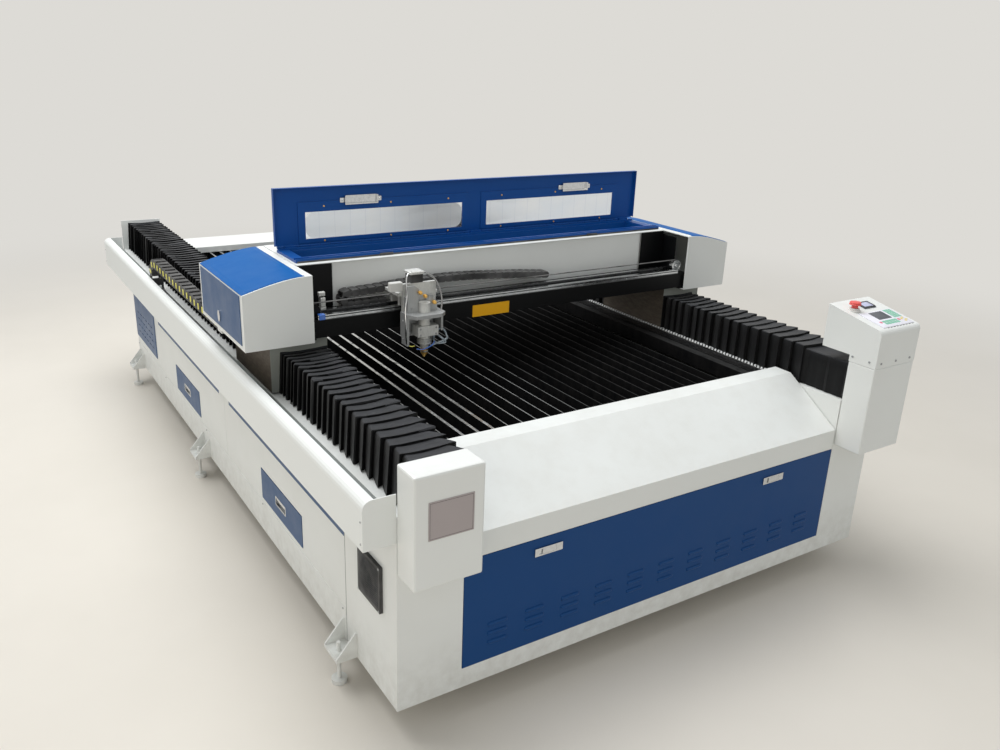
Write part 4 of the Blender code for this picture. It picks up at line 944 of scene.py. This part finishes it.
door_low, door_high = box_of("front_door")
HOOD_STEP = 0.128
columns = int((door_high[0] - door_low[0] + 0.004 - 0.100) / HOOD_STEP)
hood = [(0.0, -0.0003), (0.0, 0.0004), (0.0012, 0.0026), (0.0030, 0.0036), (0.0046, 0.0038)]
parts = []
for row in range(3):
    for column in range(columns):
        middle = (HOOD_STEP * (column - (columns - 1) / 2), door_low[1], 0.215 + 0.030 * row + 0.0062)
        parts.append(plate(middle, *FORE, (0.066, 0.0125), 0.006, hood, 0, 4))
# the hoods take the door's darker blue, which is painted shade
piece("louvre_hoods", parts, [SHADED_DOOR_BLUE], "front_door")

# %% Fan net and the border of the blank plate
low, high = box_of("fan_guard")
middle = (low + high) / 2
reach = (high - low)[1] - 0.020
wire = [(0, 0), (0, 0.0016)]
parts = []
for k in np.linspace(-0.47, 0.47, 19) * reach:
    upright = (low[0] + 0.0014, middle[1] + k, middle[2])
    level = (low[0] + 0.0004, middle[1], middle[2] + k)
    parts.append(plate(upright, *LEFT, (0.0022, reach), 0.0006, wire, 0, 2))
    parts.append(plate(level, *LEFT, (reach, 0.0022), 0.0006, wire, 0, 2))
rim = reach / 2 + 0.005
parts += screws([(low[0], middle[1] + a * rim, middle[2] + b * rim) for a, b in CORNERS], LEFT, 1, 0.9)
piece("fan_net", parts, [NET, ZINC], "bed")

low, high = box_of("blank_plate")
middle, size = (low + high) / 2, high - low
border = []
for side in (-1, 1):
    level = (middle[0], low[1], middle[2] + side * (size[2] / 2 - 0.004))
    upright = (middle[0] + side * (size[0] / 2 - 0.004), low[1], middle[2])
    border.append(sheet(level, FORE, (size[0] - 0.007, 0.0009), 0.0002, 0, 0.0003, 0.0001))
    border.append(sheet(upright, FORE, (0.0009, size[2] - 0.007), 0.0002, 0, 0.0003, 0.0001))
piece("blank_plate_border", border, [NYLON], "bed")

# %% [markdown]
# ## Control panel
# The keypad is a printed film on the sloping panel: a dark display, a green field of keys
# round two sides of it, and a few accent keys, all in plain colours. The emergency stop is a
# turned mushroom head with a finger groove, on a pale collar. A film's print is flat, but a
# press key stands up a little, so every field is a plate half a millimetre high at most.

# %% Print the keypad
KNEE = 0.976  # height of the slope's front edge
panel_low, panel_high = box_of("column_upper")
slope = (panel_high[2] - KNEE) / (panel_high[1] - panel_low[1])
lean = math.atan(slope)
ON_PANEL = (X, np.array([0.0, math.cos(lean), math.sin(lean)]))


def on_panel(x, y, lift=0.0020):
    """A place on the sloping panel, from x and y measured at the cabinet's corner."""
    spot = at(x, y, 0.0)
    spot[2] = KNEE + slope * (spot[1] - panel_low[1]) + lift
    return spot


def field(x, y, look, rise=0.0005):
    """A printed field between two x and two y."""
    size = (x[1] - x[0], (y[1] - y[0]) / math.cos(lean))
    levels = [(0, -0.0002), (0, rise * 0.6), (0.0002, rise)]
    return plate(on_panel(sum(x) / 2, sum(y) / 2), *ON_PANEL, size, 0.002, levels, look, 3)


parts = [field((1.749, 1.909), (-0.084, 0.014), 0, 0.0002), field((1.786, 1.855), (-0.039, 0.010), 1)]
# two rows of green keys below the display and five rows beside it, then the accent keys
for row in range(2):
    for column in range(5):
        x = 1.782 + 0.0156 * column
        parts.append(field((x, x + 0.0146), (-0.072 + 0.0128 * row, -0.0602 + 0.0128 * row), 2))
for row in range(5):
    for column in range(3):
        x, y = 1.866 + 0.0136 * column, -0.0405 + 0.0108 * row
        parts.append(field((x, x + 0.0126), (y, y + 0.0098), 2))
parts += [field((1.7665, 1.779), (-0.060, -0.049), 3), field((1.863, 1.875), (-0.060, -0.049), 3)]
for x, y in ((1.878, -0.059), (1.890, -0.052), (1.884, -0.072), (1.896, -0.066)):
    parts.append(field((x, x + 0.0105), (y, y + 0.0085), 4))
piece("keypad_print", parts, [PANEL_WHITE, SCREEN, KEY_GREEN, KEY_RED, KEY_YELLOW], "bed")

# %% Meter and emergency stop
DASH = [(0, -0.0002), (0, 0.0003)]
parts = [plate(on_panel(1.768 + 0.0165 * k, -0.0884, 0.0), *ON_PANEL, (0.0085, 0.0022), 0.001, DASH, 0, 3)
         for k in range(9)]
low, high = box_of("meter")
face = on_panel((low[0] + high[0]) / 2 + SIDE, (low[1] + high[1]) / 2 - FRONT, 0.0039)
BEZEL = [(0, -0.0005), (0, 0.0012), (0.0008, 0.0020), (0.0040, 0.0020), (0.0044, 0.0008)]
parts.append(plate(face, *ON_PANEL, (0.058, 0.0395), 0.003, BEZEL, 0))
parts.append(plate(face, *ON_PANEL, (0.047, 0.0290), 0.002, [(0, 0.0006), (0, 0.0012), (0.0004, 0.0014)], 1))
piece("panel_details", parts, [NYLON, PALE_LCD], "bed")

low, high = box_of("stop_button")
middle, tall = (low + high) / 2, high[2] - low[2]
wide = (high[0] - low[0]) / 2
STEM = [(0.0108, 0.0006), (0.0108, 0.36 * tall), (0.0120, 0.42 * tall)]
HEAD = np.array([(0.78, 0.46), (0.97, 0.52), (1.00, 0.60), (0.93, 0.67), (0.90, 0.72), (0.93, 0.78),
                 (0.92, 0.86), (0.80, 0.94), (0.60, 0.985), (0.30, 1.00)])  # the groove is at 0.72
mushroom = turned((middle[0], middle[1], low[2]), *TOP, [*STEM, *(HEAD * (wide, tall))], 40)
stop = piece("stop_mushroom", [mushroom], [STOP_RED], "stop_button")
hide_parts("stop_button")
low, high = box_of("stop_collar")
spot = ((low[0] + high[0]) / 2, (low[1] + high[1]) / 2, low[2])
base = turned(spot, *TOP, [(0.0205, -0.0085), (0.0205, -0.0012), (0.0195, -0.0002), (0.0165, 0.0)], 36)
piece("stop_base", [base], [COLLAR], "bed")

# %% [markdown]
# ## Gantry covers and beam
# The end covers' tops are blue sheets bent over the arch, inside a white margin; their brighter
# blue is painted light. On the beam there are a groove along the rail, drawn as a thin black strip
# of painted shade, the rail's end stop, a limit switch, the driven pulley's flange and a plain
# yellow field of vinyl. Black liners close the ends of the recess. The tops could be cut from the
# solid covers, but a sheet that follows the arch by the same formula shows its thin edge, as bent
# sheet does.

# %% Bend the cover tops
def cover_top(name, side):
    """Cross-section points follow the arch 1.060 + 0.042 sin(pi/2 s/W) from the outer edge
    inwards, 2.6 mm above it, come back 0.5 mm below it, and the section is swept along Y."""
    low, high = box_of(name)
    width = high[0] - low[0]
    s = np.linspace(0.0, width - 0.024, 20)
    arch = 1.060 + 0.042 * np.sin(s / width * math.pi / 2)
    outer = low[0] if side < 0 else high[0]
    x = outer - side * s
    edge = np.minimum(1.0, np.minimum(s, s[-1] - s) / 0.002 + 0.35)
    ends = (low[1] + 0.006, low[1] + 0.008, high[1] - 0.008, high[1] - 0.006)
    rings = []
    for y, rise in zip(ends, (0.4, 1.0, 1.0, 0.4)):
        top = np.stack([x, 0 * x + y, arch + 0.0026 * rise * edge], -1)
        under = np.stack([x, 0 * x + y, arch - 0.0005 + 0 * x], -1)
        rings.append(np.vstack([top, under[::-1]]))
    return sleeve(np.array(rings))


# the tops' brighter blue is painted light
for name, side in (("left", -1), ("right", 1)):
    piece(f"cover_top_{name}", [cover_top(f"end_cover_{name}", side)], [LIT_TOP_BLUE], "gantry")

# %% Line the recess, and lay the rail's groove on as a black strip of painted shade
low, high = box_of("beam")
rail_low, rail_high = box_of("x_rail_front")
panel = np.array(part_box("back_panel")[0])
house = np.array(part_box("gantry_housing")[0])
foot, brow, ceiling = rail_low[2], 1.086, 1.0995
dark = []
for side, deep in ((-1, 0.158), (1, 0.094)):
    beside_panel = (-side * (panel[0] + house[0]) / 2, house[1], (foot + ceiling) / 2)
    dark.append(sheet(beside_panel, FORE, (panel[0] - house[0] - 0.002, ceiling - foot), 0.0008, 0, 0.002))
    end_wall = (side * (-house[0] + 0.0018), rail_low[1] + 0.145 - deep / 2, (foot + brow) / 2)
    dark.append(sheet(end_wall, LEFT if side > 0 else RIGHT, (deep, brow - foot), 0.0012, 0, 0.002))
# the rail's groove is a thin black strip on its face: painted shade of the groove
groove = (0.0, rail_low[1], foot + 0.0100)
dark.append(sheet(groove, FORE, (rail_high[0] - rail_low[0] - 0.002, 0.0032), 0.0003, 0, 0.0004, 0.0001))

# %% End stop, limit switch and the plain field
middle_y = (rail_low[1] + rail_high[1]) / 2
stopper = plate((rail_low[0] + 0.014, middle_y, foot + 0.0075), *TOP, (0.022, 0.021), 0.003,
                [(0.001, -0.0078), (0, -0.007), (0, 0.0090), (0.0015, 0.0105)])
switch = np.array([-0.748, panel[1] - 0.052, 0.945])
# the switch is a stack: foot, body, a dark neck, and the head that the carriage runs against
metal = [
    plate(switch, *TOP, (0.020, 0.022), 0.002, [(0, 0), (0, 0.020), (0, 0.0205)]),
    plate(switch + (0, 0, 0.022), *TOP, (0.018, 0.020), 0.002,
          [(0.001, 0), (0, 0.001), (0, 0.029), (0.002, 0.031)]),
    plate(switch + (-0.002, 0, 0.058), *TOP, (0.024, 0.014), 0.003,
          [(0.001, 0), (0, 0.001), (0, 0.012), (0.002, 0.014)]),
]
dark.append(plate(switch + (0, 0, 0.052), *TOP, (0.008, 0.008), 0.002, [(0, 0), (0, 0.007)]))
yellow = sheet((-0.130, low[1], 0.9045), FORE, (0.158, 0.044), 0.0004, 0, 0.002, 0.0001)
piece("beam_recesses", dark, [BLACK], "gantry")
piece("rail_end_stop", [stopper], [AIR_BLUE], "gantry")
piece("limit_switch", metal, [ALUMINIUM], "gantry")
piece("plain_yellow_field", [yellow], [VINYL_YELLOW], "gantry")

# %% Flange of the pulley
low, high = box_of("x_pulley")
hub = np.array([(low[0] + high[0]) / 2, low[1], (low[2] + high[2]) / 2])
FLANGE = [(0.0225, 0.0002), (0.0245, 0.0008), (0.0245, 0.0030), (0.0235, 0.0038), (0.0175, 0.0038),
          (0.0165, 0.0024), (0.0085, 0.0024), (0.0080, 0.0066), (0.0070, 0.0074), (0.0035, 0.0074),
          (0.0030, 0.0050)]
ring = [hub + 0.0122 * (math.cos(a) * X + math.sin(a) * Z) - 0.0024 * Y for a in np.arange(6) * math.pi / 3]
parts = [turned(hub, *FORE, FLANGE, 36), *screws(ring, FORE, 1, 0.55)]
piece("pulley_face", parts, [NICKEL, ZINC], "pulley")

# %% [markdown]
# ## Lid
# The windows are acrylic sheets still under their protective film, held by six screws each.
# The latches hook on side tabs. The blue frame below has a lip bent down round its opening, the
# lid turns on a row of hinge knuckles, and under the frame's front edge runs a black rubber strip
# with two clips, a painted shadow of the gap there. Film and strip could be painted on, but both
# stand a little proud.

# %% Dress the lid
lid_low, lid_high = box_of("lid")
sheet_y = lid_high[1] - 0.002
face_y = sheet_y - 0.003
film, fittings, tabs = [], [], []
# the left film has one broad corner radius, the right one is cut square
for name, side in (("left", -1), ("right", 1)):
    low, high = box_of(f"window_{name}")
    middle, size = (low + high) / 2, high - low
    film.append(plate((middle[0], low[1], middle[2]), *FORE, (size[0] - 0.026, size[2] - 0.021),
                      0.034 if side < 0 else 0.008, [(0, -0.0001), (0, 0.0003), (0.0003, 0.0005)], 0, 6))
    for share in (0.11, 0.52, 0.90):
        x = low[0] + 0.012 + share * (size[0] - 0.024)
        fittings += screws([(x, face_y, low[2] + 0.0008), (x, face_y, high[2] + 0.0085)], FORE, 0, 0.8)
    low, high = box_of(f"lid_latch_{name}")
    for x in (low[0] - 0.0085, high[0] + 0.0085):
        middle_z = (low[2] + high[2]) / 2
        tabs.append(plate((x, face_y, middle_z), *FORE, (0.016, 0.018), 0.002,
                          [(0, -0.0032), (0, 0.0030), (0.0008, 0.0040)]))
        tabs += screws([(x, face_y - 0.0040, middle_z)], FORE, 0, 0.8)
piece("window_film", film, [FILM], "lid")
piece("lid_screws", fittings, [BRASS], "lid")
piece("latch_tabs", tabs, [NICKEL], "lid")

# %% Lips, knuckles, and the black strip of painted shadow under the frame
low, high = box_of("seal_frame")
mouth_x = lid_high[0] - 0.045
mouth_y = (low[1] + 0.026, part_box("hinge_rail")[0][1] - 0.0003)
lip_z = low[2] - 0.018
lips = []
for y, plane in ((mouth_y[0], (-X, Z)), (mouth_y[1], FORE)):
    lips.append(sheet((0.0, y, lip_z), plane, (2 * mouth_x, 0.044), 0.0014, 0, 0.001))
for side, plane in ((-1, RIGHT), (1, LEFT)):
    spot = (side * mouth_x, sum(mouth_y) / 2, lip_z)
    lips.append(sheet(spot, plane, (mouth_y[1] - mouth_y[0], 0.044), 0.0014, 0, 0.001))
KNUCKLE = [(0.0046, 0.0), (0.0052, 0.0006), (0.0052, 0.0384), (0.0046, 0.0390)]
for x in np.arange(lid_low[0] + 0.010, lid_high[0] - 0.045, 0.040):
    lips.append(turned((x, sheet_y + 0.0010, lid_low[2] - 0.0046), Y, Z, KNUCKLE, 10))
piece("hinge_and_lips", lips, [LID_BLUE], "gantry")
# a black rubber strip under the frame's front edge: painted shadow of the gap beneath it
strip = [plate(((low[0] + high[0]) / 2, low[1], low[2] + 0.0026), *FORE, (high[0] - low[0] - 0.01, 0.0054),
               0.002, [(0.0005, -0.003), (0, -0.002), (0, 0.0014), (0.0008, 0.0020)])]
CLIP = [(0, -0.002), (0, 0.0030), (0.001, 0.0042)]
strip += [plate((x, low[1], low[2] + 0.003), *FORE, (0.052, 0.012), 0.002, CLIP) for x in (-0.474, 0.445)]
piece("lid_painted_shadow_strip", strip, [RUBBER], "gantry")

# %% [markdown]
# ## Cutting head
# The head carries brass push-in fittings on its gusset, a clear cooling hose, a blue gas tube
# and small screws. A smooth and a braided hose drop from the motor to the sliding plate. A
# curve object with a bevel would draw the hoses too; circles carried along a smooth path keep
# every point in our hands.

# %% Cap the motor and set the connector box
shelf_low, shelf_high = box_of("head_plate")
tip_low, tip_high = box_of("nozzle")
axis = (tip_low + tip_high) / 2
axis[2] = tip_low[2]
motor_low, motor_high = box_of("lift_motor")
motor = (motor_low + motor_high) / 2
cap_at = np.array([motor[0] - 0.002, motor[1] - 0.004, motor_high[2]])
cap = [plate(cap_at, *TOP, (0.056, 0.050), 0.005,
             [(0.002, -0.0004), (0, 0.001), (0, 0.0080), (0.0020, 0.0100), (0.010, 0.0106)])]
cap += screws([cap_at + (a * 0.020, b * 0.017, 0.0096) for a, b in CORNERS], TOP, 1, 0.7)
saddle = box_of("carriage")[0]
cap.append(plate((saddle[0] - 0.010, saddle[1] + 0.014, 1.022), *TOP, (0.046, 0.022), 0.003,
                 [(0.001, 0), (0, 0.001), (0, 0.028), (0.0015, 0.030)], 2))
piece("motor_cap", cap, [ALUMINIUM, ZINC, COLLAR], "carriage")

# %% Fittings, screws and collars
gusset_y = shelf_high[1] - 0.030
FITTING = [(0.0052, 0.0), (0.0052, 0.0040), (0.0068, 0.0042), (0.0068, 0.0100), (0.0060, 0.0110),
           (0.0050, 0.0112), (0.0050, 0.0165), (0.0034, 0.0180)]
upper = np.array([axis[0] - 0.030, gusset_y, 1.030])
lower = np.array([axis[0] + 0.048, gusset_y, 0.974])
brass = [turned(upper + share * (lower - upper), *FORE, FITTING, 12) for share in (0.16, 0.40, 0.86)]
brass.append(turned(axis + (-0.021, -0.020, 0.040), -X, Y,
                    [(0.004, 0), (0.004, 0.006), (0.003, 0.007), (0.003, 0.011)], 10))
piece("head_fittings", brass, [BRASS], "head")

on_block = [axis + (a * 0.030, -0.030, 0.100 + b * 0.011) for a, b in CORNERS]
on_side = [(shelf_low[0], gusset_y + 0.010 - k * 0.024, z) for k in range(2) for z in (0.862, 0.925)]
on_shelf = [axis + (a * 0.056, b * 0.014 - 0.018, 0.162) for a, b in ((-1, 0), (1, 0.4), (-1, 1.4))]
on_gusset = [(axis[0] - 0.046 + 0.046 * k, gusset_y, 0.968) for k in range(2)]
steel = [*screws(on_block, FORE, 0, 0.9), *screws(on_side, LEFT, 0, 0.8),
         *screws(on_shelf, TOP, 0, 0.9), *screws(on_gusset, FORE, 0, 0.9)]
KNURL = [(0.0240, 0.0), (0.0256, 0.0005), (0.0256, 0.0011), (0.0240, 0.0016)]
steel += [turned(axis + (0, 0, z), *TOP, KNURL, 32) for z in np.arange(0.0560, 0.0688, 0.0021)]
NUT = [(0.0120, 0.0), (0.0152, 0.0006), (0.0156, 0.0030), (0.0150, 0.0060), (0.0120, 0.0066)]
steel.append(turned(axis + (0, 0, 0.0190), *TOP, NUT, 6))
piece("head_steel", steel, [ZINC], "head")

# %% Hoses and tubes
turn = np.linspace(-0.15 * math.pi, 1.75 * math.pi, 13)
loop = [axis + (0.052 + 0.025 * math.cos(a), -0.018 + 0.006 * math.sin(2 * a), 0.074 + 0.027 * math.sin(a))
        for a in turn]
hose = [axis + (0.026, -0.012, 0.094), *loop[::-1], axis + (0.022, -0.020, 0.046)]
piece("clear_hose", [tube(hose, 0.0032, 90, 10)], [CLEAR], "head")
blue = axis + np.array([(-0.034, -0.010, 0.036), (-0.020, -0.026, 0.037), (0.0, -0.032, 0.044),
                        (0.020, -0.027, 0.051), (0.034, -0.012, 0.055)])
yellow = axis + np.array([(-0.066, -0.006, 0.052), (-0.058, -0.016, 0.050), (-0.046, -0.018, 0.051)])
tubes = [tube(blue, 0.0022, 40, 8), tube(yellow, 0.0018, 24, 8, 1)]
piece("gas_tubes", tubes, [AIR_BLUE, YELLOW], "head")

x, y, z = motor[0], motor[1], motor_high[2]
shelf_x = shelf_low[0]
left = [(x - 0.026, y - 0.014, z + 0.006), (x - 0.042, y - 0.026, z - 0.012),
        (shelf_x + 0.012, y - 0.050, 1.012), (shelf_x - 0.002, y - 0.066, 0.975),
        (shelf_x - 0.005, y - 0.074, 0.930), (shelf_x - 0.004, y - 0.074, 0.880),
        (shelf_x + 0.001, y - 0.070, 0.850)]
right = [(x + 0.022, y - 0.012, z + 0.006), (x + 0.044, y - 0.022, z - 0.002), (x + 0.066, y - 0.034, 1.050),
         (x + 0.080, y - 0.044, 1.010), (x + 0.082, y - 0.050, 0.975), (x + 0.078, y - 0.052, 0.948)]
for name, route, width, finish in (("left", left, 0.0026, NICKEL), ("right", right, 0.0032, BRAID)):
    hose = piece(f"head_hose_{name}", [tube(route, width, 60, 10)], [finish], None)
    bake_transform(hose)

# %% [markdown]
# ## Floor, air and light
# A plain pale floor, an even sky all round and two large soft lamps: one high above, as
# daylight falls in an open hall, and a weak warm one low from the left front to keep the
# shaded faces readable. Rays that come straight from the camera, and those off metal and
# through glass, see a pale backdrop colour instead of the lighting strength, and the floor
# fades into it from 2.4 m out, so that no horizon line crosses the picture.

# %% Stage
BACKDROP = linear("#DDDBD6")


def seen_ray(tree):
    """1 for rays from the camera, off metal or through glass, 0 for those that carry light."""
    rays = node(tree, "ShaderNodeLightPath").outputs
    share = rays["Is Camera Ray"]
    for kind in ("Is Glossy Ray", "Is Transmission Ray"):
        share = node(tree, "ShaderNodeMath", {0: share, 1: rays[kind]}, operation="MAXIMUM").outputs[0]
    return share


angle = np.linspace(0, 2 * math.pi, 97)[:-1]
rings = np.stack([np.stack([r * np.cos(angle), r * np.sin(angle), 0 * angle - 0.0005], -1)
                  for r in (0.0, 6.0, 90.0)])
floor_mesh = bpy.data.meshes.new("floor")
floor_mesh.from_pydata(rings.reshape(-1, 3).tolist(), [], quads(3, 96).tolist())
floor = bpy.data.objects.new("floor", floor_mesh)
made, tree, shader, where = start("pale_sealed_concrete", 0.75, IOR=1.45)
surface(tree, shader, coats(tree, "#D9D4CB", ("#CEC9BF", patches(tree, where, 900, 0.30, 0.72, 4.0), 0.5)))
distance = node(tree, "ShaderNodeVectorMath", {0: where}, operation="LENGTH").outputs["Value"]
far = node(tree, "ShaderNodeMapRange", {"Value": distance, "From Min": 2.4, "From Max": 6.0},
           interpolation_type="SMOOTHSTEP").outputs[0]
haze = node(tree, "ShaderNodeEmission", {"Color": BACKDROP, "Strength": 1.0}).outputs[0]
air = product(tree, far, seen_ray(tree))
both = node(tree, "ShaderNodeMixShader", {0: air, 1: shader.outputs[0], 2: haze})
sink = [n for n in tree.nodes if n.bl_idname == "ShaderNodeOutputMaterial"][0]
tree.links.new(both.outputs[0], sink.inputs["Surface"])
floor_mesh.materials.append(made)
bpy.context.scene.collection.objects.link(floor)
floor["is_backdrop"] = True
print("floor radius", round(float(rings.max()), 1), "m")

# %% Sky and lamps
world = bpy.data.worlds.new("soft_sky")
world.use_nodes = True
bpy.context.scene.world = world
tree = world.node_tree
tree.nodes.clear()
sky = node(tree, "ShaderNodeBackground", {"Color": linear("#F1F4F6"), "Strength": 0.57}).outputs[0]
seen = node(tree, "ShaderNodeBackground", {"Color": BACKDROP, "Strength": 1.0}).outputs[0]
both = node(tree, "ShaderNodeMixShader", {0: seen_ray(tree), 1: sky, 2: seen})
node(tree, "ShaderNodeOutputWorld", {"Surface": both.outputs[0]})


def lamp(name, place, aim, size, watts, colour):
    """A square soft lamp at a place, turned to look at the point it aims for."""
    data = bpy.data.lights.new(name, "AREA")
    data.shape = "SQUARE"
    data.size = size
    data.energy = watts
    data.color = linear(colour)[:3]
    obj = bpy.data.objects.new(name, data)
    obj.location = place
    obj.rotation_euler = (Vector(aim) - Vector(place)).to_track_quat("-Z", "Y").to_euler()
    bpy.context.scene.collection.objects.link(obj)


lamp("overhead", (-0.9, 0.9, 5.6), (0.1, 0.2, 0.4), 5.0, 322, "#FFFFFF")
lamp("front_fill", (-4.3, -4.3, 2.1), (0.0, -0.4, 0.5), 3.5, 35, "#FFF3E4")
bpy.context.scene.view_settings.view_transform = "Standard"
print("lamps:", len(bpy.data.lights))

# %% [markdown]
# ## The two boxes
# The box of the dressed machine is printed beside the box of its solids.

# %% Print the two boxes
boxes = {"cad": cad_box, "visual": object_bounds()}
boxes = {name: [[float(v) for v in corner] for corner in box] for name, box in boxes.items()}
for name, box in boxes.items():
    print(name, [[round(v, 4) for v in corner] for corner in box])
